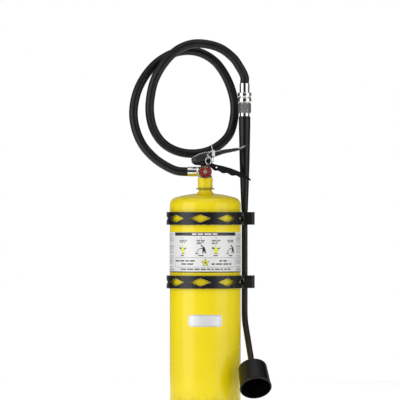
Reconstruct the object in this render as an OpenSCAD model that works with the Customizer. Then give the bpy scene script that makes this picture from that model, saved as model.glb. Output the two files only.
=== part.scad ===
// Stored-pressure dry powder fire extinguisher with a looped discharge hose and a wand applicator.
// Frame: origin at the centre of the base on the floor, +Z up, -Y the front (gauge side), +X to the lever's tip.

/* [Cylinder] */
// Outside diameter of the cylinder
cylinder_d = 203.2; // [180:0.1:240]
// Steel wall of the cylinder
cylinder_wall = 2.5; // [1.5:0.1:4]
// Height of the foot ring under the cylinder
foot_h = 16.3; // [10:0.1:24]
// Height from the floor to the top of the straight side
shoulder_z = 570; // [520:1:680]
// Corner radius between the straight side and the crown
knuckle_r = 23; // [16:0.5:30]
// Radius of the crown
crown_r = 300; // [240:1:380]
// Depth of the inward dish in the bottom
dish_depth = 14; // [8:0.5:20]
// Outside diameter of the neck
neck_d = 43.3; // [40:0.1:50]
// Height of the neck above the floor, less the height of the shoulder
neck_above_shoulder = 79; // [70:1:100]
// Empty space between the powder and the shoulder
powder_drop = 140; // [80:1:260]

/* [Bands] */
// Height of each wand band
band_h = 36.7; // [28:0.1:44]
// Thickness of the band strip
band_t = 2; // [1.5:0.1:3]
// How far the band's web stands off the cylinder
band_standoff = 7.4; // [5:0.1:12]
// Distance from the shoulder down to the upper band's middle
upper_band_drop = 38; // [24:1:60]
// Distance from one band's middle to the next
band_spacing = 182; // [170:1:230]
// Length of each diamond opening along the strip
diamond_l = 63; // [40:1:66]
// Height of each diamond opening
diamond_h = 23; // [14:0.5:26]
// Angle from one diamond to the next
diamond_pitch = 42.2; // [40:0.1:48]

/* [Label] */
// Height of the instruction label
label_h = 113; // [80:1:130]
// Distance from the upper band's middle down to the label's middle
label_drop = 95.6; // [86:0.1:105]
// Half of the angle that the label wraps
label_half_angle = 100; // [60:1:120]
// Distance from the lower band's middle down to the nameplate's middle
nameplate_drop = 110; // [60:1:150]
// Width of the blank nameplate
nameplate_w = 96; // [60:1:120]
// Height of the blank nameplate
nameplate_h = 34; // [20:1:50]

/* [Valve] */
// Diameter of the valve's barrel
barrel_d = 32; // [30:0.5:36]
// Height of the outlet and gauge axis above the top of the neck
port_above_neck = 17; // [16:0.5:20]
// Diameter of the stem
stem_d = 8; // [6:0.1:9]
// Outside diameter of the siphon tube
siphon_d = 17.8; // [14:0.1:18]
// Diameter of the pressure gauge
gauge_d = 38; // [34:0.5:40]
// Depth of the gauge case
gauge_depth = 13; // [10:0.5:16]

/* [Handle and lever] */
// Thickness of the handle and lever sheet
sheet_t = 2; // [1.5:0.1:2.5]
// Inside width of the carry handle
handle_inner_w = 22; // [22:0.5:28]
// Side gap between the lever and the carry handle
lever_gap = 0.5; // [0.3:0.1:1]
// Diameter of the lever's pivot pin
pivot_d = 6; // [5:0.1:7]
// Diameter of the safety pin
pin_d = 4; // [3:0.1:4.8]
// Radius of the pull ring, to the middle of its wire
pull_ring_r = 10.5; // [8:0.5:12]

/* [Hose] */
// Outside diameter of the discharge hose
hose_d = 25.4; // [20:0.1:31]
// Wall of the ferrule on the valve end
valve_ferrule_wall = 1.2; // [1:0.1:2]
// Wall of the ferrule on the wand end
wand_ferrule_wall = 1.6; // [1:0.1:2.5]
// Depth of each ferrule's pocket for the hose
hose_grip_l = 21; // [16:0.5:22]

/* [Wand] */
// Outside diameter of the wand tube
tube_d = 17.4; // [14:0.1:18]
// Wall of the wand tube
tube_wall = 1.8; // [1:0.1:2.5]
// Diameter of the grip at its top
grip_top_d = 33.6; // [28:0.1:36]
// Angle of the bend in the wand tube
wand_bend = 42.9; // [35:0.1:45]
// Radius of the bend to the middle of the tube
wand_bend_r = 70; // [50:1:80]
// Length of the applicator bell
bell_l = 79.5; // [60:0.5:85]
// Radius of the bell at its closed end
bell_top_r = 41; // [34:0.5:44]
// Radius of the bell at its mouth
bell_mouth_r = 44.4; // [38:0.1:48]
// Wall of the bell
bell_wall = 2.5; // [2:0.1:3.5]

/* [Hidden] */
$fn = 96;
seat = 0.05;       // clearance between faces that are assembled together
running = 0.06;    // radial clearance of a shaft that turns or slides in its hole
eps = 0.01;        // overlap that keeps a cut from leaving a skin
big = 400;         // larger than any cut needs to be
through = 80;      // length of a hole cut right through the valve, handle or lever

cylinder_r = cylinder_d / 2;
knuckle_x = cylinder_r - knuckle_r;
crown_z = shoulder_z - sqrt(pow(crown_r - knuckle_r, 2) - knuckle_x * knuckle_x);
neck_r = neck_d / 2;
neck_top_z = shoulder_z + neck_above_shoulder;
neck_bore_r = 14;
neck_root_r = neck_r - 3;
crown_at_neck_z = crown_z + sqrt(crown_r * crown_r - neck_root_r * neck_root_r);
service_z = crown_at_neck_z + 11;
service_h = 4;
service_r = neck_r + 4.6;

upper_band_z = shoulder_z - upper_band_drop;
lower_band_z = upper_band_z - band_spacing;
label_z = upper_band_z - label_drop;
nameplate_z = lower_band_z - nameplate_drop;
powder_z = shoulder_z - powder_drop;

dish_edge_r = cylinder_r - 21;
dish_r = (dish_edge_r * dish_edge_r + dish_depth * dish_depth) / (2 * dish_depth);
dish_z = foot_h + dish_depth - dish_r;

band_r = cylinder_r + band_standoff + band_t;
band_gap_w = 12;
diamond_start = -7.25;

// Valve: heights follow the neck, so the whole head rises with the cylinder.
port_z = neck_top_z + port_above_neck;
flange_h = 6;
valve_block_top = port_z + 30;
chamber_r = 9;
chamber_top = port_z - 6;
outlet_r = 7;
stem_r = stem_d / 2;
spring_seat_z = neck_top_z - 15;
valve_bottom_z = neck_top_z - 22;
stem_head_z = chamber_top - 6;
gauge_boss_y = -21;
gauge_back_y = gauge_boss_y - 3;
gauge_r = gauge_d / 2;
gauge_front_y = gauge_back_y - gauge_depth;
dial_y = gauge_front_y + 6;

// Lever geometry, given from the pivot.
pivot_x = -31;
pivot_z = port_z + 34.7;
lever_web_slope = 12;      // slope of the lever's top web over the stem
lever_web_start = -14;     // where the straight web begins
lever_travel = 12;         // how far the lever turns
lever_web_reach = 12.33;   // distance from the pivot to the underside of that web
stem_ball_gap = 0.3;
stem_ball_z = pivot_z + (lever_web_reach + -pivot_x * sin(lever_web_slope) - stem_r - stem_ball_gap)
    / cos(lever_web_slope);
handle_half_w = handle_inner_w / 2 + sheet_t;
lever_half_w = handle_half_w + lever_gap + sheet_t;
handle_low_from = 28;       // where the finger waves start and end, from the neck's axis
handle_low_to = 112;
handle_rivet_r = 2.5;
handle_rivet_x = stem_r + handle_rivet_r + 1.8;
handle_rivet_z = port_z + 24.5;
pin_x = 9;
pin_z = pivot_z + 7.3;
pin_eye_y = -lever_half_w - 11.5;
pin_eye_t = 2;
pin_eye_hole_r = 3.2;
ring_yaw = -40;
ring_wire_r = 1.2;
seal_r = 0.7;

// Hose ends
outlet_x = -barrel_d / 2 - 4.5;
outlet_nut_l = 4.5;
valve_ferrule_x = outlet_x - outlet_nut_l;
valve_ferrule_l = hose_grip_l + 4.4;
hose_start_x = valve_ferrule_x - valve_ferrule_l + hose_grip_l - seat;

// Wand, on its own vertical axis beside the cylinder
hook_t = 2.5;
hook_tab_r = band_r + seat;
hook_bend = 10;
hook_tab_end = 130;        // where the hook's tab ends on the band, in degrees from the front
rivet_angle = 124;
tube_r = tube_d / 2;
wand_gap = 1.4;
wand_y = 50;
wand_x = sqrt(pow(hook_tab_r + hook_t + wand_gap + tube_r, 2) - wand_y * wand_y);
hook_leg_y = wand_y - tube_r - 5.4;
hook_outer_x = wand_x + 29;
hook_tip_y = wand_y + 14;
wand_heading = -80.1;      // direction the bend turns towards, about the vertical
grip_bottom = upper_band_z + band_h / 2 + 2.65;
grip_waist = grip_bottom + 67;
grip_top = grip_bottom + 272.4;
nut_bottom = grip_top + 9.2;
swivel_bottom = nut_bottom + 28.9;
wand_ferrule_bottom = swivel_bottom + 29.5;
wand_ferrule_top = wand_ferrule_bottom + hose_grip_l + 6;
hose_end_z = wand_ferrule_top - hose_grip_l + seat;
spigot_r = 10;
spigot_l = 14;
grip_waist_r = tube_r + 3.4;
grip_end_r = tube_r + 0.9;
nut_thread_l = 10;
adapter_wall = 3.7;
adapter_l = 24;
bend_corner_z = 242.2;
bell_drop = 184.6;         // from the bend's corner to the bell's closed end, along the tube
socket_spigot_r = 10.5;
socket_floor = 4;
socket_l = 20;
socket_rim_r = 13;

// Hose route, from the valve's outlet to the wand's ferrule, chosen by hand, with heights from the port's axis.
// Both ends run straight.
hose_route = [for (p = [
    [hose_start_x, 0, 0], [hose_start_x - 28, 0, 0],
    [-84, 2, 3], [-116, 7, 18], [-147, 14, 40], [-177, 21, 73], [-197, 29, 114], [-206, 37, 160],
    [-202, 45, 206], [-188, 51, 248], [-163, 57, 288], [-130, 62, 320], [-88, 67, 342], [-46, 71, 348],
    [-8, 74, 340], [27, 76, 318], [53, 79, 285], [73, 82, 243], [84, 83, 196], [82, 82, 149],
    [69, 79, 107], [41, 75, 77], [4, 71, 58], [-40, 67, 52], [-84, 62, 60], [-122, 56, 83],
    [-148, 50, 121], [-159, 44, 168], [-157, 39, 215], [-145, 35, 264], [-119, 32, 310], [-82, 31, 348],
    [-40, 31, 366], [4, 33, 366], [46, 37, 353], [80, 42, 327], [101, 46, 297],
    [wand_x - 0.5, wand_y - 0.3, hose_end_z - port_z + 40], [wand_x, wand_y, hose_end_z - port_z + 24],
    [wand_x, wand_y, hose_end_z - port_z]
]) p + [0, 0, port_z]];

// ---------- shapes that repeat ----------

// One sector of the plane, from angle a0 to a1, measured from the front (-Y) towards +X.
module sector(a0, a1, r) {
    steps = max(2, ceil((a1 - a0) / 30));
    polygon(concat([[0, 0]], [for (i = [0 : steps]) let(a = a0 + (a1 - a0) * i / steps) r * [sin(a), -cos(a)]]));
}

// Ring of rectangular section.
module ring(r_in, r_out, h) {
    difference() {
        cylinder(r = r_out, h = h);
        translate([0, 0, -eps]) cylinder(r = r_in, h = h + 2 * eps);
    }
}

// A cylinder along -Y from the given y.
module along_front(r, h) {
    rotate([90, 0, 0]) cylinder(r = r, h = h);
}

// A cylinder along X, centred.
module across_x(r, h) {
    rotate([0, 90, 0]) cylinder(r = r, h = h, center = true);
}

// A cylinder along Y, centred.
module across_y(r, h) {
    rotate([90, 0, 0]) cylinder(r = r, h = h, center = true);
}

// Puts an outline drawn in X and Z upright, centred on Y.
module upright(w) {
    rotate([90, 0, 0]) linear_extrude(height = w, center = true) children();
}

// Torus about the Z axis.
module torus(r, wire) {
    rotate_extrude() translate([r, 0]) circle(r = wire);
}

// Points of an arc about a centre, from angle a0 to a1.
function arc(centre, r, a0, a1, steps) =
    [for (i = [0 : steps]) let(a = a0 + (a1 - a0) * i / steps) centre + r * [cos(a), sin(a)]];

// ---------- pressure cylinder ----------

module vessel_outline(inset) {
    r = cylinder_r - inset;
    tangent_x = knuckle_x * (crown_r - inset) / (crown_r - knuckle_r);
    difference() {
        union() {
            translate([0, foot_h + inset]) square([r, shoulder_z - foot_h - inset]);
            translate([knuckle_x, shoulder_z]) circle(r = knuckle_r - inset);
            intersection() {
                translate([0, crown_z]) circle(r = crown_r - inset);
                translate([0, shoulder_z - eps]) square([tangent_x, crown_r]);
            }
        }
        translate([0, dish_z]) circle(r = dish_r + inset);
    }
}

module cylinder_shell() {
    color("gold")
        rotate_extrude() difference() {
            vessel_outline(0);
            vessel_outline(cylinder_wall);
            translate([0, shoulder_z]) square([neck_root_r + seat, crown_r]);
        }
}

module foot_ring() {
    ring_t = 3;
    flange = 13;
    color("gold") rotate_extrude() union() {
        translate([cylinder_r - ring_t, 0]) square([ring_t, foot_h - seat]);
        translate([cylinder_r - flange, 0]) square([flange, ring_t]);
    }
}

module neck_collar() {
    chamfer = 1.2;
    inside_l = 12;
    groove = 0.7;
    boss_z = service_z + service_h + seat;
    color("gold") rotate_extrude() polygon([
        [neck_bore_r, crown_at_neck_z - inside_l], [neck_root_r, crown_at_neck_z - inside_l],
        [neck_root_r, crown_at_neck_z + 1], [neck_root_r + 1.6, crown_at_neck_z + 1],
        [neck_root_r + 1.2, service_z - 5], [neck_root_r, service_z - 0.4], [neck_root_r, boss_z],
        [neck_r - 1, boss_z], [neck_r, boss_z + 1], [neck_r, boss_z + 3], [neck_r - groove, boss_z + 4],
        [neck_r - groove, neck_top_z - 12], [neck_r, neck_top_z - 11], [neck_r, neck_top_z - chamfer],
        [neck_r - chamfer, neck_top_z], [neck_bore_r, neck_top_z]
    ]);
}

// A sprung ring with a split at the back, snapped in under the neck's boss.
module service_collar() {
    split = 3;
    edge = 1;
    color("goldenrod") difference() {
        translate([0, 0, service_z]) rotate_extrude() polygon([
            [neck_root_r + seat, 0], [service_r - edge, 0], [service_r, edge],
            [service_r, service_h - edge], [service_r - edge, service_h], [neck_root_r + seat, service_h]
        ]);
        translate([-split / 2, 0, service_z - 1]) cube([split, big, service_h + 2]);
    }
}

module powder_charge() {
    inset = cylinder_wall + seat;
    color("whitesmoke") rotate_extrude() difference() {
        intersection() {
            vessel_outline(inset);
            square([cylinder_r, powder_z]);
        }
        square([siphon_d / 2 + seat, powder_z + 1]);
    }
}

module curved_sheet(a_half, z_mid, h, t) {
    translate([0, 0, z_mid - h / 2])
        linear_extrude(height = h) intersection() {
            difference() {
                circle(r = cylinder_r + seat + t);
                circle(r = cylinder_r + seat);
            }
            sector(-a_half, a_half, big);
        }
}

module instruction_label() {
    label_t = 0.35;
    color("lightgray") curved_sheet(label_half_angle, label_z, label_h, label_t);
}

module nameplate() {
    plate_t = 0.5;
    corner = 9;
    half_angle = nameplate_w / 2 / cylinder_r * 180 / PI;
    color("silver") intersection() {
        curved_sheet(half_angle + 5, nameplate_z, nameplate_h, plate_t);
        translate([0, -cylinder_r, nameplate_z]) upright(120) union() {
            square([nameplate_w - 2 * corner, nameplate_h], center = true);
            square([nameplate_w, nameplate_h - 2 * corner], center = true);
            for (sx = [-1, 1], sz = [-1, 1])
                translate([sx * (nameplate_w / 2 - corner), sz * (nameplate_h / 2 - corner)]) circle(r = corner);
        }
    }
}

// ---------- wand bands ----------

// Straight width of a diamond whose length is measured along the strip.
function diamond_chord() = 2 * band_r * sin(diamond_l / 2 / band_r * 180 / PI);

module band(z_mid) {
    ear_t = 2.5;
    ear_l = 20;
    opening = asin(band_gap_w / 2 / band_r);
    web_in = band_r - band_t;
    inner = cylinder_r + seat;
    first = -3;
    last = 3;
    color("#1b1b1d") translate([0, 0, z_mid - band_h / 2]) difference() {
        union() {
            difference() {
                rotate_extrude() union() {
                    translate([web_in, 0]) square([band_t, band_h]);
                    for (z = [0, band_h - band_t]) translate([inner, z]) square([band_r - inner, band_t]);
                }
                translate([-band_gap_w / 2, 0, -1]) cube([band_gap_w, big, band_h + 2]);
            }
            for (side = [-1, 1]) translate([side * (band_gap_w / 2 + ear_t / 2) - ear_t / 2, inner + 4, 0])
                cube([ear_t, band_r - inner - 4 + ear_l, band_h]);
        }
        translate([0, band_r + ear_l / 2, band_h / 2]) across_x(3.2, through);
        for (k = [first : last]) rotate([0, 0, diamond_start + k * diamond_pitch])
            translate([0, -band_r, band_h / 2]) upright(2 * (band_t + 6))
                polygon([[-diamond_chord() / 2, 0], [0, -diamond_h / 2], [diamond_chord() / 2, 0], [0, diamond_h / 2]]);
    }
}

module wand_hook(z_mid) {
    wall_in = hook_outer_x - hook_t;
    start = 90 + asin(hook_leg_y / hook_tab_r);
    color("#1b1b1d") translate([0, 0, z_mid - band_h / 2]) difference() {
        linear_extrude(height = band_h) union() {
            intersection() {
                difference() {
                    circle(r = hook_tab_r + hook_t);
                    circle(r = hook_tab_r);
                }
                sector(start, hook_tab_end, big);
            }
            difference() {
                translate([wand_x - 20, hook_leg_y]) square([hook_outer_x - wand_x + 20 - hook_bend, hook_t]);
                circle(r = hook_tab_r);
            }
            translate([hook_outer_x - hook_bend, hook_leg_y + hook_bend]) intersection() {
                difference() {
                    circle(r = hook_bend);
                    circle(r = hook_bend - hook_t);
                }
                translate([0, -hook_bend]) square([hook_bend, hook_bend]);
            }
            translate([wall_in, hook_leg_y + hook_bend]) square([hook_t, hook_tip_y - hook_leg_y - hook_bend]);
            translate([wall_in + hook_t / 2, hook_tip_y]) circle(r = hook_t / 2);
        }
        for (dz = [-1, 1]) rotate([0, 0, rivet_angle])
            translate([0, -hook_tab_r, band_h / 2 + dz * 10]) across_y(2 + seat, 12);
    }
}

module hook_rivets() {
    head_h = 1.2;
    color("dimgray") for (z = [upper_band_z, lower_band_z], dz = [-1, 1])
        rotate([0, 0, rivet_angle]) translate([0, -hook_tab_r - hook_t, z + dz * 10]) union() {
            translate([0, -seat, 0]) along_front(3.4, head_h);
            translate([0, hook_t - seat, 0]) along_front(2, hook_t + 2 * seat);
        }
}

module hex_head(across_flats, h) {
    rotate([0, 90, 0]) cylinder(r = across_flats / 2 / cos(30), h = h, $fn = 6);
}

module band_bolts() {
    outer = band_gap_w / 2 + 2.5 + seat;
    color("silver") for (z = [upper_band_z, lower_band_z]) translate([0, band_r + 10, z]) union() {
        translate([outer, 0, 0]) hex_head(10, 4);
        translate([-outer - 9, 0, 0]) rotate([0, 90, 0]) cylinder(r = 3, h = 2 * outer + 9 + eps);
    }
}

module band_nuts() {
    outer = band_gap_w / 2 + 2.5 + seat;
    color("silver") for (z = [upper_band_z, lower_band_z]) translate([-outer - 5, band_r + 10, z]) difference() {
        hex_head(10, 5);
        translate([2.5, 0, 0]) across_x(3 + seat, 8);
    }
}

// ---------- valve ----------

module valve_body() {
    block_w = handle_inner_w - 2 * seat;
    block_half_l = handle_rivet_x + handle_rivet_r + 2;
    color("gainsboro") difference() {
        union() {
            translate([0, 0, valve_bottom_z]) cylinder(r = neck_bore_r - seat, h = neck_top_z - valve_bottom_z + eps);
            translate([0, 0, neck_top_z + 1.5]) cylinder(r = 20, h = flange_h - 1.5);
            translate([0, 0, neck_top_z + seat]) cylinder(r = 15, h = 2);
            translate([0, 0, neck_top_z + flange_h]) cylinder(r = barrel_d / 2, h = port_z - neck_top_z + 8);
            translate([-block_half_l, -block_w / 2, port_z + 6])
                cube([2 * block_half_l, block_w, valve_block_top - port_z - 6]);
            translate([0, 0, port_z]) rotate([0, -90, 0]) cylinder(r = 13.5, h = -outlet_x);
            translate([0, 0, port_z]) along_front(9, -gauge_boss_y);
        }
        translate([0, 0, valve_bottom_z - 1]) cylinder(r = chamber_r, h = chamber_top - valve_bottom_z + 1);
        translate([0, 0, chamber_top - 2]) cylinder(r = stem_r + 1.8, h = 14);
        translate([0, 0, port_z]) cylinder(r = stem_r + running, h = valve_block_top);
        translate([0, 0, port_z]) rotate([0, -90, 0]) cylinder(r = outlet_r, h = through);
        translate([0, 0, port_z]) along_front(2.5, through);
        for (x = [-1, 1] * handle_rivet_x) translate([x, 0, handle_rivet_z]) across_y(handle_rivet_r, through);
    }
}

module neck_seal() {
    color("#151515") translate([0, 0, neck_top_z + 0.75]) rotate_extrude() translate([16.2, 0]) circle(r = 0.7);
}

module siphon_adapter() {
    color("silver") translate([0, 0, valve_bottom_z + 1]) ring(5, chamber_r - seat, spring_seat_z - valve_bottom_z - 1);
}

module siphon_tube() {
    top = valve_bottom_z + 1 - seat;
    bottom = foot_h + dish_depth + cylinder_wall + 14;
    color("silver") translate([0, 0, bottom]) ring(siphon_d / 2 - 1.3, siphon_d / 2, top - bottom);
}

module valve_stem() {
    color("silver") union() {
        translate([0, 0, stem_head_z]) cylinder(r = 7.6, h = 3);
        translate([0, 0, stem_head_z]) cylinder(r = stem_r, h = stem_ball_z - stem_head_z);
        translate([0, 0, stem_ball_z]) sphere(r = stem_r);
        translate([0, 0, stem_head_z - 5]) cylinder(r = 3.6, h = 5 + eps);
    }
}

module stem_seal() {
    color("#151515") translate([0, 0, stem_head_z + 3 + seat]) ring(stem_r + seat, 7.6, 3 - 2 * seat);
}

// Compression spring, one wire swept along a helix.
module stem_spring() {
    turns = 5;
    per_turn = 12;
    wire = 0.7;
    coil_r = 6.4;
    low = spring_seat_z + wire + 2 * seat;
    high = stem_head_z - wire - 2 * seat;
    line = [for (i = [0 : turns * per_turn]) let(a = 360 * i / per_turn)
        [coil_r * cos(a), coil_r * sin(a), low + (high - low) * i / (turns * per_turn)]];
    color("silver") tube_along(line, wire, 8, [0, 0, 1]);
}

// ---------- pressure gauge ----------

module gauge_case() {
    wall = 1.6;
    color("#3a1412") translate([0, 0, port_z]) union() {
        difference() {
            translate([0, gauge_back_y, 0]) along_front(gauge_r, gauge_depth);
            translate([0, gauge_back_y - 3, 0]) along_front(gauge_r - wall, gauge_depth);
        }
        translate([0, gauge_boss_y - seat, 0]) along_front(7, gauge_boss_y - seat - gauge_back_y + eps);
        translate([0, -14, 0]) along_front(2.5 - seat, -gauge_back_y - 14 + eps);
    }
}

module gauge_dial() {
    color("firebrick") translate([0, dial_y + 1, port_z]) difference() {
        along_front(gauge_r - 1.7, 1);
        translate([0, 1, 0]) along_front(1.3, 4);
    }
}

module gauge_needle_post() {
    color("silver") translate([0, gauge_back_y - 3 - seat, port_z])
        along_front(1.1, gauge_back_y - 3 - dial_y + 3);
}

module gauge_needle() {
    tip = gauge_r - 4;
    tail = 7;
    color("#c9c36a") translate([0, dial_y - 0.8, port_z]) difference() {
        union() {
            upright(0.6) polygon([[-1.1, 0], [-0.35, tip], [0.35, tip], [1.1, 0], [0.8, -tail], [-0.8, -tail]]);
            across_y(3.2, 0.6);
        }
        across_y(1.1 + running, 4);
    }
}

module gauge_lens() {
    color("#e8f0f4") translate([0, gauge_front_y + 1.6, port_z]) along_front(gauge_r - 1.65, 1.2);
}

// ---------- carry handle and operating lever ----------

// The handle's lower edge falls towards its tip, with waves for the fingers.
function handle_low_edge(x) = port_z + 3 - (x - 28.5) * 0.268 + 1.8 * cos((x - 63) * 360 / 26);

module handle_outline() {
    steps = 28;
    lower = [for (i = [0 : steps]) let(x = handle_low_from + (handle_low_to - handle_low_from) * i / steps)
        [x, handle_low_edge(x)]];
    polygon(concat(
        [[-29.4, port_z + 19], [-14, port_z + 17.5], [11, port_z + 17], [16, port_z + 12], [21.4, port_z + 6.6]],
        lower,
        [[124, port_z - 23.4], [131, port_z - 26.5], [131.6, port_z - 24.6], [125, port_z - 16],
         [116, port_z - 9.6], [96, port_z + 0.8], [74, port_z + 9.6], [52, port_z + 16], [30, port_z + 20.6],
         [21, port_z + 23.4], [18.4, port_z + 38], [15.6, port_z + 45], [12.8, port_z + 46.6],
         [5.8, port_z + 46.6], [3, port_z + 45], [0, port_z + 41], [-22, port_z + 40], [-31, port_z + 42],
         [-37, port_z + 39.6], [-40, port_z + 33], [-38.6, port_z + 25]]
    ));
}

module handle_web_outline() {
    difference() {
        intersection() {
            handle_outline();
            translate([20, port_z - 60]) square([big, 120]);
        }
        translate([0, sheet_t]) handle_outline();
    }
}

module carry_handle() {
    color("#232424") difference() {
        union() {
            for (side = [-1, 1]) translate([0, side * (handle_inner_w + sheet_t) / 2, 0])
                upright(sheet_t) handle_outline();
            upright(handle_inner_w + 2 * eps) handle_web_outline();
        }
        translate([pivot_x, 0, pivot_z]) across_y(pivot_d / 2 + seat, through);
        translate([pin_x, 0, pin_z]) across_y(pin_d / 2 + running, through);
        for (x = [-1, 1] * handle_rivet_x) translate([x, 0, handle_rivet_z]) across_y(handle_rivet_r, through);
        translate([32, 0, port_z + 12]) across_y(2.2, through);
    }
}

// Rivets closed flush, because the lever passes close outside the handle.
module handle_rivets() {
    color("dimgray") for (x = [-1, 1] * handle_rivet_x)
        translate([x, 0, handle_rivet_z]) across_y(handle_rivet_r - seat, 2 * handle_half_w);
}

function web_top(x) = pivot_z + (lever_web_reach + sheet_t) / cos(lever_web_slope)
    + (x - pivot_x) * tan(lever_web_slope);

module lever_outline() {
    polygon(concat(
        [[-36, pivot_z - 8.6], [-40, pivot_z - 4], [-40, pivot_z + 2], [-37.5, pivot_z + 6.6], [-32.5, pivot_z + 10],
         [-24, pivot_z + 13.6], [lever_web_start, web_top(lever_web_start)], [8, web_top(8)]],
        [[20, pivot_z + 24], [34, pivot_z + 25.6], [54, pivot_z + 28.8], [74, pivot_z + 31.4],
         [100, pivot_z + 34.6], [102.4, pivot_z + 35.4], [116.4, pivot_z + 42.4], [117.4, pivot_z + 40.6],
         [108, pivot_z + 32], [101, pivot_z + 27.4], [86, pivot_z + 23.4], [68, pivot_z + 19.6],
         [52, pivot_z + 16], [36, pivot_z + 10.6], [24, pivot_z + 6.4], [14, pivot_z + 2], [0, pivot_z - 1.6],
         [-10, pivot_z - 4.6], [-24, pivot_z - 8.4]]
    ));
}

module lever_web_outline() {
    difference() {
        lever_outline();
        translate([sheet_t * 0.2, -sheet_t]) lever_outline();
        translate([-60, pivot_z - 20]) square([40, 32]);
        translate([-25, pivot_z - 20]) square([125, 27]);
    }
}

// The slot that the pin crosses while the lever turns down by its whole travel.
module pin_slot() {
    slot_r = pin_d / 2 + 0.4;
    reach = norm([pin_x - pivot_x, pin_z - pivot_z]);
    low = atan2(pin_z - pivot_z, pin_x - pivot_x);
    high = low + lever_travel;
    pivot = [pivot_x, pivot_z];
    upright(through) polygon(concat(arc(pivot, reach + slot_r, low, high, 4), arc(pivot, reach - slot_r, high, low, 4)));
    for (a = [low, high]) translate([pivot_x + reach * cos(a), 0, pivot_z + reach * sin(a)])
        across_y(slot_r, through);
}

module operating_lever() {
    inner_w = 2 * (lever_half_w - sheet_t);
    color("#3b3c3d") difference() {
        union() {
            for (side = [-1, 1]) translate([0, side * (lever_half_w - sheet_t / 2), 0])
                upright(sheet_t) lever_outline();
            upright(inner_w + 2 * eps) lever_web_outline();
        }
        translate([pivot_x, 0, pivot_z]) across_y(pivot_d / 2 + running, through);
        pin_slot();
    }
}

module lever_pivot_pin() {
    half = lever_half_w + 0.3;
    color("silver") translate([pivot_x, 0, pivot_z]) union() {
        across_y(pivot_d / 2, 2 * half);
        for (side = [-1, 1]) translate([0, side * (half + 0.6), 0]) across_y(pivot_d / 2 + 1.6, 1.2 + eps);
    }
}

// ---------- safety pin, pull ring and tamper seal ----------

module safety_pin() {
    head_y = -lever_half_w - 1;
    tip_y = lever_half_w + 5;
    color("silver") translate([pin_x, 0, pin_z]) difference() {
        union() {
            translate([0, tip_y, 0]) along_front(pin_d / 2, tip_y - pin_eye_y - pin_eye_hole_r - 0.6);
            translate([0, head_y, 0]) along_front(4.4, 1.6);
            translate([0, pin_eye_y, 0]) across_x(pin_eye_hole_r + 2.2, pin_eye_t);
        }
        translate([0, pin_eye_y, 0]) across_x(pin_eye_hole_r, 14);
    }
}

// The ring hangs through the eye.
module pull_ring() {
    color("silver") translate([pin_x, pin_eye_y, pin_z - 0.6 - pull_ring_r])
        rotate([90, 0, ring_yaw]) torus(pull_ring_r, ring_wire_r);
}

// A plastic strap through the pin's eye and round the lever, with a flat tag and a free tail.
module tamper_seal() {
    strap_x = 23.5;
    side_y = lever_half_w + 2;
    under_z = pivot_z - 7;
    over_z = web_top(strap_x) + 2.6;
    eye = [pin_x, pin_eye_y, pin_z + 2];
    strap = [
        eye + [0.6, 0, 0], eye + [3.4, 0.6, -0.4], [strap_x - 3, -side_y - 1, under_z + 2],
        [strap_x, -side_y + 4, under_z], [strap_x, side_y - 3, under_z], [strap_x, side_y, under_z + 4],
        [strap_x, side_y, over_z - 4], [strap_x, side_y - 3, over_z], [strap_x, -side_y + 4, over_z],
        [strap_x - 3, -side_y, over_z - 2], eye + [0, 1, 7.6], eye + [-3, 0.6, 4.6], eye + [-2.8, 0, 0.6],
        eye + [-0.6, 0, 0]
    ];
    color("whitesmoke") union() {
        tube_along(concat(curve(strap, 3), [strap[len(strap) - 1]]), seal_r, 8, [0.5, -0.6, 0.6]);
        translate([strap_x - 4.5, -side_y - 1, over_z - 20]) cube([9, 1, 17]);
        translate([strap_x - 1, -side_y - 1, over_z - 4]) cube([2, 1.4, 4.4]);
        translate([strap_x - 4, -side_y - 1, over_z - 3.5]) rotate([0, -10, 0]) cube([2.2, 1, 22]);
    }
}

// ---------- discharge hose and its fittings ----------

module outlet_nut() {
    color("gainsboro") translate([outlet_x - seat, 0, port_z]) rotate([0, -90, 0]) difference() {
        rotate([0, 0, 30]) cylinder(r = 16, h = outlet_nut_l - 2 * seat, $fn = 6);
        translate([0, 0, -1]) cylinder(r = outlet_r, h = outlet_nut_l + 2);
    }
}

module valve_end_ferrule() {
    pocket_r = hose_d / 2 + seat;
    color("gainsboro") translate([valve_ferrule_x, 0, port_z]) rotate([0, -90, 0]) difference() {
        cylinder(r = pocket_r + valve_ferrule_wall, h = valve_ferrule_l);
        translate([0, 0, valve_ferrule_l - hose_grip_l]) cylinder(r = pocket_r, h = hose_grip_l + 1);
        translate([0, 0, -1]) cylinder(r = outlet_r, h = valve_ferrule_l);
    }
}

// Smooth curve through the route's points.
function curve_point(p0, p1, p2, p3, t) = 0.5 * ((2 * p1) + (p2 - p0) * t + (2 * p0 - 5 * p1 + 4 * p2 - p3) * t * t
    + (3 * p1 - p0 - 3 * p2 + p3) * t * t * t);
function route_at(route, i) = route[max(0, min(len(route) - 1, i))];
function curve(route, per) = [for (i = [0 : len(route) - 2], k = [0 : per - 1])
    curve_point(route_at(route, i - 1), route[i], route[i + 1], route_at(route, i + 2), k / per)];
function unit(v) = v / norm(v);
// The hose's centre line, with one point between each two of the route's, and the last point.
function hose_line() = concat(curve(hose_route, 2), [hose_route[len(hose_route) - 1]]);
function direction_at(line, i) = unit(line[min(len(line) - 1, i + 1)] - line[max(0, i - 1)]);
function ring_points(line, i, r, sides, side_of) = let(
        t = i == 0 ? unit(line[1] - line[0]) : i == len(line) - 1 ? unit(line[i] - line[i - 1]) : direction_at(line, i),
        n = unit(cross(t, side_of)),
        b = cross(t, n)
    ) [for (k = [0 : sides - 1]) line[i] + r * (cos(360 * k / sides) * n + sin(360 * k / sides) * b)];

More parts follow.
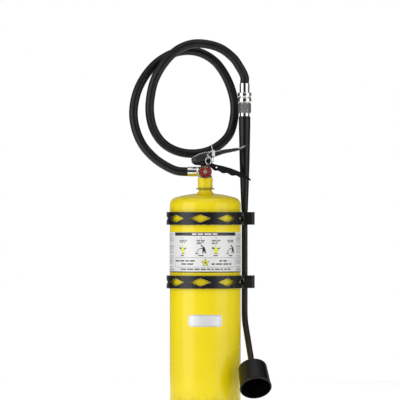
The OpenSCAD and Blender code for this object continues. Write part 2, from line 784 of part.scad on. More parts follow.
module tube_along(line, r, sides, side_of) {
    rings = len(line);
    points = [for (i = [0 : rings - 1]) each ring_points(line, i, r, sides, side_of)];
    walls = [for (i = [0 : rings - 2], k = [0 : sides - 1]) let(n = (k + 1) % sides)
        [i * sides + k, (i + 1) * sides + k, (i + 1) * sides + n, i * sides + n]];
    polyhedron(points, concat([[for (k = [0 : sides - 1]) k]], walls,
        [[for (k = [0 : sides - 1]) rings * sides - 1 - k]]));
}

module discharge_hose() {
    color("#1c1c1e") tube_along(hose_line(), hose_d / 2, 12, [0, 1, 0]);
}

// Moves the children onto the wand's vertical axis.
module on_wand() {
    translate([wand_x, wand_y, 0]) children();
}

module wand_end_ferrule() {
    pocket_r = hose_d / 2 + seat;
    h = wand_ferrule_top - wand_ferrule_bottom;
    color("gainsboro") on_wand() translate([0, 0, wand_ferrule_bottom]) difference() {
        cylinder(r = pocket_r + wand_ferrule_wall, h = h);
        translate([0, 0, h - hose_grip_l]) cylinder(r = pocket_r, h = hose_grip_l + 1);
        translate([0, 0, -1]) cylinder(r = outlet_r, h = h);
    }
}

// The body turns the wand about a hollow spigot that reaches down into the nut.
module swivel_body() {
    top = wand_ferrule_bottom - seat;
    r = 19.8;
    color("gainsboro") on_wand() difference() {
        union() {
            translate([0, 0, swivel_bottom + 4.5]) cylinder(r = r, h = top - swivel_bottom - 5.7);
            translate([0, 0, top - 1.2]) cylinder(r1 = r, r2 = r - 1.2, h = 1.2);
            translate([0, 0, swivel_bottom]) cylinder(r1 = 13.6, r2 = 17.4, h = 4.5);
            translate([0, 0, swivel_bottom - spigot_l]) cylinder(r = spigot_r, h = spigot_l + 1);
        }
        translate([0, 0, (top + swivel_bottom) / 2 + 2]) torus(r + 2.2, 4.4);
        translate([0, 0, swivel_bottom - spigot_l - 1]) cylinder(r = outlet_r, h = through);
    }
}

module swivel_nut() {
    chamfer = 2.4;
    h = swivel_bottom - nut_bottom - seat;
    r = 18.65;
    color("darkgray") on_wand() translate([0, 0, nut_bottom]) difference() {
        intersection() {
            cylinder(r = r, h = h, $fn = 6);
            rotate_extrude() polygon([
                [0, 0], [r - chamfer, 0], [r, chamfer * 0.6], [r, h - chamfer * 0.6], [r - chamfer, h], [0, h]
            ]);
        }
        translate([0, 0, h - spigot_l - seat]) cylinder(r = spigot_r + running, h = spigot_l + 1);
        translate([0, 0, -1]) cylinder(r = spigot_r + seat, h = nut_thread_l + 1);
        translate([0, 0, -1]) cylinder(r = outlet_r, h = h + 2);
    }
}

module wand_adapter() {
    low = grip_top - adapter_l;
    color("gainsboro") on_wand() difference() {
        union() {
            translate([0, 0, grip_top + seat]) cylinder(r = 14.2, h = nut_bottom - grip_top - 2 * seat);
            translate([0, 0, low]) cylinder(r = tube_r + adapter_wall, h = adapter_l + 1);
            translate([0, 0, nut_bottom - 1]) cylinder(r = spigot_r, h = nut_thread_l + 1 - seat);
        }
        translate([0, 0, low - 1]) cylinder(r = tube_r + seat, h = adapter_l - 4);
        translate([0, 0, low]) cylinder(r = outlet_r - 0.4, h = through);
    }
}

module wand_grip() {
    lip = 3;
    middle_r = (grip_waist_r + grip_top_d / 2) / 2;
    color("#1a1a1c") on_wand() rotate_extrude() difference() {
        polygon([
            [0, grip_bottom], [grip_end_r - 1, grip_bottom], [grip_end_r, grip_bottom + 2],
            [grip_end_r + 1, grip_bottom + 30], [grip_waist_r, grip_waist],
            [middle_r, (grip_waist + grip_top) / 2 - 30], [grip_top_d / 2 - 1, grip_top - 70],
            [grip_top_d / 2, grip_top - 20], [grip_top_d / 2, grip_top - lip], [grip_top_d / 2 - lip / 2, grip_top],
            [0, grip_top]
        ]);
        translate([0, grip_bottom - 1]) square([tube_r + seat, big]);
        translate([0, grip_top - adapter_l - seat]) square([tube_r + adapter_wall + seat, big]);
    }
}

// Along the bent tube: children are placed at the bend's far end, with +Z pointing back up the tube.
module past_bend(distance) {
    on_wand() rotate([0, 0, wand_heading]) translate([0, 0, bend_corner_z]) rotate([0, -wand_bend, 0])
        translate([0, 0, -distance]) children();
}

module wand_tube() {
    tangent = wand_bend_r * tan(wand_bend / 2);
    bend_top_z = bend_corner_z + tangent;
    bore_r = tube_r - tube_wall;
    color("#1a1a1c") on_wand() rotate([0, 0, wand_heading]) translate([wand_bend_r, 0, bend_top_z])
        rotate([-90, 0, 180]) union() {
            translate([wand_bend_r, 0, 0]) rotate([90, 0, 0]) ring(bore_r, tube_r, grip_top - 6 - bend_top_z);
            rotate_extrude(angle = wand_bend) translate([wand_bend_r, 0]) difference() {
                circle(r = tube_r);
                circle(r = bore_r);
            }
            rotate([0, 0, wand_bend]) translate([wand_bend_r, 0, 0]) rotate([-90, 0, 0])
                ring(bore_r, tube_r, bell_drop - socket_floor - tangent);
        }
}

module bell_socket() {
    bore_r = tube_r - tube_wall;
    color("#151516") past_bend(bell_drop) difference() {
        union() {
            translate([0, 0, seat]) cylinder(r1 = tube_r + 6.3, r2 = tube_r + 3.3, h = socket_l);
            translate([0, 0, -bell_wall - 1]) cylinder(r = socket_spigot_r, h = bell_wall + 2);
            translate([0, 0, -bell_wall - seat - 3]) cylinder(r = socket_rim_r, h = 3);
        }
        translate([0, 0, socket_floor - seat]) cylinder(r = tube_r + seat, h = socket_l + 1);
        translate([0, 0, -through / 2]) cylinder(r = bore_r, h = through);
    }
}

module applicator_bell() {
    edge = 5;
    edge_in = edge - bell_wall;
    bead = 2;
    inner_mouth_r = bell_mouth_r - bell_wall;
    color("#131314") past_bend(bell_drop) rotate_extrude() polygon(concat(
        [[socket_spigot_r + seat, 0]],
        arc([bell_top_r - edge, -edge], edge, 90, 0, 6),
        [[bell_mouth_r, -bell_l + 3 * bead]],
        arc([bell_mouth_r - 0.4, -bell_l + bead], bead, 50, -90, 6),
        [[inner_mouth_r, -bell_l]],
        arc([bell_top_r - bell_wall - edge_in, -bell_wall - edge_in], edge_in, 0, 90, 4),
        [[socket_spigot_r + seat, -bell_wall]]
    ));
}

cylinder_shell();
foot_ring();
neck_collar();
service_collar();
powder_charge();
instruction_label();
nameplate();
band(upper_band_z);  // upper_band
band(lower_band_z);  // lower_band
wand_hook(upper_band_z);  // upper_wand_hook
wand_hook(lower_band_z);  // lower_wand_hook
hook_rivets();
band_bolts();
band_nuts();
valve_body();
neck_seal();
siphon_adapter();
siphon_tube();
valve_stem();
stem_seal();
stem_spring();
gauge_case();
gauge_dial();
gauge_needle();
gauge_needle_post();
gauge_lens();
carry_handle();
handle_rivets();
operating_lever();
lever_pivot_pin();
safety_pin();
pull_ring();
tamper_seal();
outlet_nut();
valve_end_ferrule();
discharge_hose();
wand_end_ferrule();
swivel_body();
swivel_nut();
wand_adapter();
wand_grip();
wand_tube();
bell_socket();
applicator_bell();
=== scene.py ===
"""Dry powder fire extinguisher with a looped hose and a wand: the finished look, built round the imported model."""
import logging
import math
import random
from dataclasses import dataclass
from enum import Enum
from typing import Callable, ClassVar, Iterable, Sequence, Union

import bmesh
import bpy
from bpy.types import ID, Material, NodeSocket, Object
from mathutils import Matrix, Vector


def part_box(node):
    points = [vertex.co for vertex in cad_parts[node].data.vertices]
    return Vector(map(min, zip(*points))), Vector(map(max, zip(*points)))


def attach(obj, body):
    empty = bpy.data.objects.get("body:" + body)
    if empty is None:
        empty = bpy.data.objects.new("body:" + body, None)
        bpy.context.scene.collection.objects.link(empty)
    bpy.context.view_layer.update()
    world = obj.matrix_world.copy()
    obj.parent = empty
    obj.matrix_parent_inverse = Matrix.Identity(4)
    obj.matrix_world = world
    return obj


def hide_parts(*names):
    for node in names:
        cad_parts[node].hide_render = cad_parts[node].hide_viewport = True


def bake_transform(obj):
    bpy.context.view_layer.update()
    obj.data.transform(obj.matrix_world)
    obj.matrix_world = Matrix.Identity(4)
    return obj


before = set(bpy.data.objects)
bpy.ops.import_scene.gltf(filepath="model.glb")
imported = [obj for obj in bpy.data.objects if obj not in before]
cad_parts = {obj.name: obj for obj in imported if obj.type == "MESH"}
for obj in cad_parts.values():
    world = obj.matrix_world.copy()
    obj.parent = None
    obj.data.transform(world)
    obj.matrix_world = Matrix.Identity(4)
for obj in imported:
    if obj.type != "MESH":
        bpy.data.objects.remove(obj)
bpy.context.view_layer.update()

LOG = logging.getLogger("extinguisher")
MM = 0.001

Colour = tuple[float, float, float]
Point = tuple[float, float, float]
Flat = tuple[float, float]
Numbers = tuple[float, ...]
Value = Union["Wire", float, int, tuple]

# Scales of the place before a noise is read, so that its lumps run up and down.
DRIPPED = (1.0, 1.0, 0.22)
WIPED = (1.0, 1.0, 0.2)
STREAKED = (1.0, 1.0, 0.12)
# From 1 - cosine of an edge's turn: where an edge starts to show, and where it shows in full.
EDGE_TURN = (0.01, 0.12)
# The near-white that the sharp edges of plated metal are lightened to: a painted glint.
EDGE_GLINT = (0.9, 0.9, 0.89)
DIRT = (0.12, 0.095, 0.03)
# The width of the flat strips that artwork is cut into before it is laid on the cylinder.
LABEL_STRIP = 3 * MM


# --- shader expressions


class Wire:
    """One output of a shader node, which adds Math nodes when it is used in an expression."""

    def __init__(self, bench: "Bench", socket: NodeSocket) -> None:
        """Keeps the socket and the bench that its nodes are added to."""
        self.bench = bench
        self.socket = socket

    def _math(self, operation: str, *values: Value) -> "Wire":
        """Adds one Math node with these values."""
        return self.bench.node("ShaderNodeMath", {"operation": operation}, dict(enumerate(values)))

    def __add__(self, other: Value) -> "Wire":
        """Gives self + other."""
        return self._math("ADD", self, other)

    __radd__ = __add__

    def __sub__(self, other: Value) -> "Wire":
        """Gives self - other."""
        return self._math("SUBTRACT", self, other)

    def __rsub__(self, other: Value) -> "Wire":
        """Gives other - self, as in 1 - mask."""
        return self._math("SUBTRACT", other, self)

    def __mul__(self, other: Value) -> "Wire":
        """Gives self * other."""
        return self._math("MULTIPLY", self, other)

    __rmul__ = __mul__

    def sine(self) -> "Wire":
        """Gives the sine of self, in radians."""
        return self._math("SINE", self)

    def rise(self, low: float, high: float) -> "Wire":
        """Gives a smooth step.

        Args:
            low: The value up to which the step is 0.
            high: The value from which the step is 1.

        Returns:
            The step, from 0 to 1.
        """
        return self.bench.node(
            "ShaderNodeMapRange", {"interpolation_type": "SMOOTHSTEP"}, {0: self, 1: low, 2: high}
        )

    def between(self, low: float, high: float) -> "Wire":
        """Spreads a value from 0 to 1 over the range from low to high."""
        return self * (high - low) + low


class Bench:
    """The node tree of one material, with its Principled shader."""

    def __init__(self, name: str, constants: dict[str, Value]) -> None:
        """Makes the material.

        Args:
            name: The material's name.
            constants: Values of the shader's own sockets that are the same all over.
        """
        self.material = bpy.data.materials.new(name)
        self.material.use_nodes = True
        self.tree = self.material.node_tree
        self.shader = self.tree.nodes["Principled BSDF"]
        for key, value in constants.items():
            self.shader.inputs[key].default_value = value

    def node(self, kind: str, settings: dict, sockets: dict, output: Union[int, str] = 0) -> Wire:
        """Adds one node.

        Args:
            kind: The node's type name.
            settings: Attributes of the node, which are set first.
            sockets: Values or wires, by the socket's name or number.
            output: The output that is wanted.

        Returns:
            That output.
        """
        made = self.tree.nodes.new(kind)
        for key, value in settings.items():
            setattr(made, key, value)
        for key, value in sockets.items():
            if isinstance(value, Wire):
                self.tree.links.new(value.socket, made.inputs[key])
            else:
                made.inputs[key].default_value = value
        return Wire(self, made.outputs[output])

    def feed(self, **wires: Wire) -> None:
        """Links varying values to the shader, with the socket's name written with _ for each space."""
        for key, wire in wires.items():
            self.tree.links.new(wire.socket, self.shader.inputs[key.replace("_", " ")])

    def place(self) -> Wire:
        """Gives the point on the surface in metres, which moves with the piece."""
        return self.node("ShaderNodeTexCoord", {}, {}, "Object")

    def stretch(self, vector: Wire, by: Point) -> Wire:
        """Multiplies a vector part by part."""
        return self.node("ShaderNodeVectorMath", {"operation": "MULTIPLY"}, {0: vector, 1: by})

    def part(self, vector: Wire, axis: str) -> Wire:
        """Gives the X, Y or Z part of a vector."""
        return self.node("ShaderNodeSeparateXYZ", {}, {0: vector}, axis)

    def noise(self, at: Wire, scale: float, detail: float = 3.0, rough: float = 0.5) -> Wire:
        """Gives soft noise.

        Args:
            at: Where it is read.
            scale: How many lumps stand in a metre.
            detail: How many finer layers it has.
            rough: How strong the finer layers are.

        Returns:
            A value round 0.5.
        """
        return self.node(
            "ShaderNodeTexNoise", {}, {"Vector": at, "Scale": scale, "Detail": detail, "Roughness": rough}
        )

    def blend(self, share: Value, first: Value, second: Value) -> Wire:
        """Mixes two colours.

        Args:
            share: The second colour's share.
            first: The colour at share 0.
            second: The colour at share 1.

        Returns:
            The mixed colour.
        """
        solid = [v if isinstance(v, Wire) else (*v, 1.0) for v in (first, second)]
        return self.node("ShaderNodeMix", {"data_type": "RGBA"}, {0: share, 6: solid[0], 7: solid[1]}, 2)

    def rounded(self, radius: float) -> Wire:
        """Gives the surface's direction with its sharp edges rounded by that radius."""
        return self.node("ShaderNodeBevel", {"samples": 4}, {"Radius": radius})

    def edges(self, radius: float) -> Wire:
        """Gives a mask that is 1 on sharp edges and 0 on flat or gently curved faces."""
        true = self.node("ShaderNodeNewGeometry", {}, {}, "Normal")
        same = self.node(
            "ShaderNodeVectorMath", {"operation": "DOT_PRODUCT"}, {0: self.rounded(radius), 1: true}, "Value"
        )
        return (1 - same).rise(*EDGE_TURN)

    def bump(self, height: Wire, depth: float, strength: float = 1.0, radius: float = 0.0) -> None:
        """Raises the surface.

        Args:
            height: The height, from 0 to 1.
            depth: How far a height of 1 stands up, in metres.
            strength: How much of it shows.
            radius: How far the edges under it are rounded.
        """
        sockets = {"Height": height, "Distance": depth, "Strength": strength}
        if radius:
            sockets["Normal"] = self.rounded(radius)
        self.feed(Normal=self.node("ShaderNodeBump", {}, sockets))


# --- finishes


class Brush(Enum):
    """The way that the fine lines of a metal run."""

    ROUND = (1.0, 1.0, 30.0)
    ALONG_X = (1.0, 30.0, 30.0)
    NONE = (1.0, 1.0, 1.0)


@dataclass(frozen=True)
class Finish:
    """What every finish has: its name and the record's slot that it belongs to."""

    name: str
    slot: str

    def material(self) -> Material:
        """Makes the finish's material."""
        raise NotImplementedError


@dataclass(frozen=True)
class Enamel(Finish):
    """Baked paint on steel, with orange peel, dust, and bare metal on worn edges; on some finishes that bare metal,
    also on the up-facing faces, is a painted highlight.
    """

    colour: Colour
    deep: Colour
    gloss: float = 0.22
    edge_wear_and_highlight: float = 0.5
    bare: Colour = (0.32, 0.32, 0.33)
    edge: float = 0.0008
    grime: float = 0.0
    coat: float = 0.0
    # How much of the up-facing faces is bright bare metal: a painted highlight of the light from above.
    painted_top_highlight: float = 0.0
    peel: float = 0.00012
    shine: float = 0.5

    def material(self) -> Material:
        """Makes the paint."""
        b = Bench(self.name, {"Coat Weight": self.coat, "Coat Roughness": 0.06, "Specular IOR Level": self.shine})
        at = b.place()
        cloud = b.noise(at, 7.0, 4.0)
        fine = b.noise(at, 240.0, 4.0, 0.65)
        scuffs = b.noise(b.stretch(at, DRIPPED), 120.0, 5.0, 0.7).rise(0.60, 0.76)
        # Bright bare metal on sharp edges: wear, and on the lever and the bands also a painted highlight of the
        # edges catching the light.
        chips_and_highlight = (b.edges(self.edge) * fine.rise(0.62 - 0.3 * self.edge_wear_and_highlight, 0.70)).rise(0.25, 0.8) * self.edge_wear_and_highlight
        # Up-facing faces turned to bright bare metal: a painted highlight of the light from above.
        if self.painted_top_highlight:
            up = b.part(b.node("ShaderNodeTexCoord", {}, {}, "Normal"), "Z").rise(0.55, 0.92)
            chips_and_highlight = (chips_and_highlight + up * fine.between(0.7, 1.1) * self.painted_top_highlight).rise(0.0, 1.0)
        colour = b.blend(cloud.rise(0.3, 0.7), self.deep, self.colour)
        if self.grime:
            low = 1 - b.part(at, "Z").rise(0.0, 0.05)
            dirt = (low * b.noise(at, 60.0, 6.0, 0.7).rise(0.35, 0.7) + scuffs * 0.12) * self.grime
            colour = b.blend(dirt, colour, DIRT)
        b.feed(
            Base_Color=b.blend(chips_and_highlight, colour, self.bare),
            Metallic=chips_and_highlight,
            Roughness=fine.between(self.gloss - 0.05, self.gloss + 0.09) + scuffs * 0.14 + chips_and_highlight * 0.1,
        )
        height = b.noise(at, 620.0, 2.0) + chips_and_highlight * -0.8
        b.bump(height, self.peel, 0.55, self.edge)
        return b.material


@dataclass(frozen=True)
class Plating(Finish):
    """Plated or drawn metal with fine tool lines, handling marks, dull patches and a painted glint on sharp edges.
    """

    colour: Colour
    dull: Colour
    rough: float = 0.12
    spread: float = 0.14
    lines: Brush = Brush.ROUND
    line_depth: float = 0.00003
    edge: float = 0.0005

    def material(self) -> Material:
        """Makes the metal."""
        b = Bench(self.name, {"Metallic": 1.0})
        at = b.place()
        patches = b.noise(at, 55.0, 5.0, 0.6).rise(0.42, 0.75)
        tooling = b.noise(b.stretch(at, self.lines.value), 160.0, 3.0, 0.6)
        # The edge mask lightens sharp edges towards a near-white colour: a painted glint.
        edge = b.edges(self.edge)
        b.feed(
            Base_Color=b.blend(edge * 0.6, b.blend(patches, self.colour, self.dull), EDGE_GLINT),
            Roughness=patches * self.spread + tooling.between(self.rough - 0.04, self.rough + 0.05),
        )
        b.bump(tooling, self.line_depth, 0.5, self.edge)
        return b.material


@dataclass(frozen=True)
class Moulding(Finish):
    """Moulded rubber or plastic with fine grain, scuffs and dust."""

    colour: Colour
    dusty: Colour
    rough: float = 0.42
    grain: float = 1100.0
    depth: float = 0.00006
    edge: float = 0.0008
    coat: float = 0.0
    glow: float = 0.0
    shine: float = 0.4

    def material(self) -> Material:
        """Makes the moulded surface."""
        constants = {"Coat Weight": self.coat, "Coat Roughness": 0.12, "Specular IOR Level": self.shine}
        if self.glow:
            constants |= {"Subsurface Weight": self.glow, "Subsurface Scale": 0.002}
        b = Bench(self.name, constants)
        at = b.place()
        dust = b.noise(at, 34.0, 6.0, 0.65).rise(0.48, 0.86)
        rub = b.edges(self.edge) * b.noise(at, 210.0, 4.0).rise(0.35, 0.65)
        streaks = b.noise(b.stretch(at, STREAKED), 260.0, 4.0, 0.7).rise(0.56, 0.8)
        b.feed(
            Base_Color=b.blend((dust * 0.45 + rub * 0.5 + streaks * 0.2).rise(0.0, 1.0), self.colour, self.dusty),
            Roughness=dust * 0.16 + streaks * -0.08 + self.rough,
        )
        b.bump(b.noise(at, self.grain, 2.0) + streaks * -0.5, self.depth, 0.6, self.edge)
        return b.material


@dataclass(frozen=True)
class HoseCover(Finish):
    """Black rubber hose cover with the fine print of the cloth that it was cured in."""

    colour: Colour = (0.004, 0.004, 0.0042)
    dusty: Colour = (0.013, 0.013, 0.0135)
    rough: float = 0.36
    wrap: float = 2400.0

    def material(self) -> Material:
        """Makes the cover, from the distance along and round the hose."""
        b = Bench(self.name, {"Specular IOR Level": 0.3, "Coat Weight": 0.06, "Coat Roughness": 0.16})
        at = b.place()
        along = b.node("ShaderNodeUVMap", {"uv_map": "UVMap"}, {})
        u, v = b.part(along, "X"), b.part(along, "Y")
        print_lines = ((u + v) * self.wrap).sine() * ((u - v) * self.wrap).sine()
        seam = (v * 118.0 + u * 70.0).sine().rise(0.93, 1.0)
        dust = b.noise(at, 30.0, 6.0, 0.62).rise(0.45, 0.85)
        kinks = b.noise(b.stretch(along, (1.0, 6.0, 1.0)), 22.0, 4.0, 0.6)
        b.feed(
            Base_Color=b.blend(dust * 0.6 + seam * 0.12, self.colour, self.dusty),
            Roughness=kinks.between(self.rough - 0.08, self.rough + 0.10) + dust * 0.1,
        )
        b.bump(print_lines * 0.35 + seam * 0.8 + kinks * 1.2, 0.00012, 0.6)
        return b.material


@dataclass(frozen=True)
class Film(Finish):
    """Printed or silvered film: a smooth sheet with faint creases and yellowing."""

    colour: Colour
    aged: Colour
    rough: float = 0.28
    metal: float = 0.0
    lines: Brush = Brush.NONE

    def material(self) -> Material:
        """Makes the film."""
        b = Bench(self.name, {"Metallic": self.metal, "Coat Weight": 0.35, "Coat Roughness": 0.1})
        at = b.place()
        age = b.noise(at, 18.0, 5.0, 0.6).rise(0.42, 0.8)
        tooth = b.noise(b.stretch(at, self.lines.value), 420.0, 3.0)
        creases = b.noise(at, 11.0, 3.0, 0.4)
        b.feed(
            Base_Color=b.blend(age * 0.7, self.colour, self.aged),
            Roughness=tooth.between(self.rough - 0.06, self.rough + 0.1),
        )
        b.bump(creases * 4.0 + tooth * 0.25, 0.00012, 0.4)
        return b.material


@dataclass(frozen=True)
class Ink(Finish):
    """Ink on film, thin in places."""

    colour: Colour
    thin: Colour
    rough: float = 0.34

    def material(self) -> Material:
        """Makes the ink."""
        b = Bench(self.name, {"Coat Weight": 0.2, "Coat Roughness": 0.12})
        at = b.place()
        speckle = b.noise(at, 900.0, 3.0, 0.6).rise(0.5, 0.85)
        b.feed(
            Base_Color=b.blend(speckle * 0.5, self.colour, self.thin),
            Roughness=speckle.between(self.rough, self.rough + 0.1),
        )
        b.bump(speckle, 0.00002, 0.3)
        return b.material


@dataclass(frozen=True)
class Lens(Finish):
    """Clear plastic lens with faint wipe marks."""

    def material(self) -> Material:
        """Makes the lens."""
        b = Bench(self.name, {"IOR": 1.49, "Base Color": (0.03, 0.03, 0.035, 1.0)})
        wipes = b.noise(b.stretch(b.place(), WIPED), 180.0, 4.0, 0.6).rise(0.5, 0.8)
        b.feed(Alpha=wipes * 0.06 + 0.14, Roughness=wipes.between(0.04, 0.2))
        return b.material


class Paintshop:
    """Makes each finish's material once and puts it on pieces and CAD nodes."""

    def __init__(self) -> None:
        """Starts with no materials."""
        self.made: dict[Finish, Material] = {}
        self.coated: set[str] = set()

    def material(self, finish: Finish) -> Material:
        """Gives a finish's material."""
        if finish not in self.made:
            self.made[finish] = finish.material()
        return self.made[finish]

    def coat(self, finish: Finish, *nodes: str) -> None:
        """Puts a finish on CAD nodes.

        Args:
            finish: The finish.
            nodes: The nodes' names.
        """
        for name in nodes:
            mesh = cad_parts[name].data
            mesh.materials.clear()
            mesh.materials.append(self.material(finish))
            self.coated.add(name)

    def dress(self, piece: Object, *finishes: Finish) -> None:
        """Puts finishes on a new piece, in order."""
        for finish in finishes:
            piece.data.materials.append(self.material(finish))


SHOP = Paintshop()

YELLOW = Enamel("yellow_enamel", "yellow_enamel", (0.84, 0.68, 0.004), (0.79, 0.62, 0.003),
                gloss=0.22, edge_wear_and_highlight=0.25, bare=(0.25, 0.22, 0.1), grime=0.3, coat=0.15, peel=0.0001, shine=0.38)
BLACK = Enamel("black_enamel", "black_enamel", (0.008, 0.008, 0.0085), (0.006, 0.006, 0.006),
               gloss=0.28, edge_wear_and_highlight=0.55, shine=0.38)
# The lever's bright bare edges and top faces are partly wear and partly a painted highlight of the light from
# above.
LEVER_COAT = Enamel("lever_enamel", "lever_enamel", (0.022, 0.023, 0.025), (0.015, 0.016, 0.017),
                    gloss=0.33, edge_wear_and_highlight=1.0, bare=(0.75, 0.75, 0.76), edge=0.003, painted_top_highlight=0.85)
DARK_RIVET = Plating("dark_rivet", "zinc_steel", (0.10, 0.10, 0.10), (0.05, 0.05, 0.05), 0.34, 0.16)
# Bright bare metal for the bends along the lever's top edges: partly worn metal, partly a painted highlight of the
# light from above.
BARE_LEVER_HIGHLIGHT = Plating("bare_lever_highlight", "lever_enamel", (0.88, 0.88, 0.88), (0.6, 0.6, 0.6), 0.22, 0.12)
# The bands' bright bare edges are partly wear and partly a painted highlight of the cut edges catching the light.
BAND_COAT = Enamel("band_enamel", "black_enamel", (0.008, 0.008, 0.0085), (0.006, 0.006, 0.006),
                   gloss=0.26, edge_wear_and_highlight=1.0, bare=(0.85, 0.85, 0.85), edge=0.0016, shine=0.38)
RIM_PAINT = Enamel("gauge_rim", "gauge_rim", (0.05, 0.006, 0.006), (0.03, 0.004, 0.004), gloss=0.22, edge_wear_and_highlight=0.3)
NEEDLE_PAINT = Enamel("needle_paint", "needle_paint", (0.62, 0.58, 0.32), (0.5, 0.46, 0.26), gloss=0.4, edge_wear_and_highlight=0.1)
NICKEL = Plating("nickel_plate", "nickel_plate", (0.86, 0.855, 0.84), (0.7, 0.69, 0.66), 0.07, 0.07,
                 line_depth=0.00001)
ZINC = Plating("zinc_steel", "zinc_steel", (0.66, 0.66, 0.66), (0.42, 0.42, 0.43), 0.24, 0.2)
GREY_ZINC = Plating("grey_zinc", "grey_zinc", (0.66, 0.67, 0.68), (0.5, 0.5, 0.51), 0.34, 0.14)
WIRE = Plating("bright_wire", "bright_wire", (0.78, 0.78, 0.77), (0.5, 0.5, 0.5), 0.16, 0.16)
ALLOY = Plating("siphon_alloy", "siphon_alloy", (0.75, 0.75, 0.76), (0.5, 0.5, 0.52), 0.3, 0.2)
HOSE = HoseCover("hose_rubber", "hose_rubber")
GRIP = Moulding("grip_rubber", "grip_rubber", (0.004, 0.004, 0.0044), (0.016, 0.016, 0.0165), 0.30, coat=0.08,
                shine=0.32)
SEAL_RUBBER = Moulding("seal_rubber", "seal_rubber", (0.012, 0.012, 0.012), (0.03, 0.03, 0.03), 0.55)
BELL = Moulding("bell_plastic", "bell_plastic", (0.0025, 0.0025, 0.0028), (0.011, 0.011, 0.011), 0.30, coat=0.04,
                shine=0.25)
COLLAR = Moulding("collar_plastic", "collar_plastic", (0.30, 0.25, 0.02), (0.22, 0.19, 0.04), 0.35)
STRAP = Moulding("seal_plastic", "seal_plastic", (0.62, 0.64, 0.65), (0.50, 0.51, 0.5), 0.34, glow=0.25)
POWDER = Moulding("powder", "powder", (0.82, 0.80, 0.74), (0.7, 0.68, 0.62), 0.85, 700.0, 0.0006)
LABEL = Film("label_film", "label_film", (0.72, 0.72, 0.715), (0.66, 0.655, 0.62), 0.30)
PLATE = Film("plate_film", "plate_film", (0.72, 0.73, 0.75), (0.60, 0.61, 0.63), 0.34, 0.25, Brush.ALONG_X)
BORDER = Ink("plate_border", "plate_film", (0.20, 0.21, 0.22), (0.3, 0.31, 0.32))
BLACK_INK = Ink("black_ink", "label_film", (0.012, 0.012, 0.013), (0.05, 0.05, 0.05))
GREY_INK = Ink("grey_ink", "label_film", (0.045, 0.045, 0.047), (0.12, 0.12, 0.12))
LINE_INK = Ink("line_ink", "label_film", (0.14, 0.14, 0.14), (0.25, 0.25, 0.25))
LIME_INK = Ink("lime_ink", "label_film", (0.66, 0.70, 0.03), (0.72, 0.74, 0.2))
PANEL_INK = Ink("panel_ink", "label_film", (0.34, 0.34, 0.345), (0.46, 0.46, 0.46))
WHITE_INK = Ink("white_ink", "label_film", (0.78, 0.78, 0.77), (0.6, 0.6, 0.6))
DIAL_RED = Ink("dial_red", "dial_print", (0.42, 0.012, 0.012), (0.5, 0.05, 0.04), 0.3)
DIAL_GREEN = Ink("dial_green", "dial_print", (0.02, 0.32, 0.05), (0.1, 0.4, 0.1), 0.3)
DIAL_PALE = Ink("dial_pale", "dial_print", (0.74, 0.72, 0.62), (0.8, 0.8, 0.75), 0.35)
GLASS = Lens("gauge_glass", "gauge_glass")


# --- mesh making


def linked(name: str, data: ID) -> Object:
    """Puts a mesh, a lamp or a camera into the scene as a new object."""
    made = bpy.data.objects.new(name, data)
    bpy.context.scene.collection.objects.link(made)
    return made


def from_sheet(name: str, sheet: bmesh.types.BMesh) -> Object:
    """Makes a piece from a BMesh and frees it."""
    mesh = bpy.data.meshes.new(name)
    sheet.to_mesh(mesh)
    sheet.free()
    return linked(name, mesh)


def piece_from(name: str, points: Iterable[Sequence[float]], faces: Iterable[Sequence[int]],
               smooth: bool = True) -> Object:
    """Makes a piece from points and faces.

    Args:
        name: The piece's name.
        points: The points, in metres.
        faces: The faces, as numbers of points.
        smooth: Whether the faces shade smoothly.

    Returns:
        The new object, with no material yet.
    """
    mesh = bpy.data.meshes.new(name)
    mesh.from_pydata([tuple(p) for p in points], [], [tuple(f) for f in faces])
    mesh.validate()
    for polygon in mesh.polygons:
        polygon.use_smooth = smooth
    return linked(name, mesh)


def neighbours(count: int) -> list[tuple[int, int]]:
    """Pairs each number of a closed ring with the next one."""
    return [(k, (k + 1) % count) for k in range(count)]


def through_points(route: Sequence[Point], per: int) -> list[Vector]:
    """Gives a smooth line through a route's points.

    Args:
        route: The points.
        per: How many steps there are from one point to the next.

    Returns:
        The line's points, with the route's last one.
    """
    marks = [Vector(p) for p in route]
    line = []
    for i in range(len(marks) - 1):
        before, start, end, after = (marks[max(0, min(len(marks) - 1, i + k))] for k in (-1, 0, 1, 2))
        for k in range(per):
            t = k / per
            line.append(0.5 * (2 * start + (end - before) * t
                               + (2 * before - 5 * start + 4 * end - after) * t ** 2
                               + (3 * start - before - 3 * end + after) * t ** 3))
    return line + [marks[-1]]


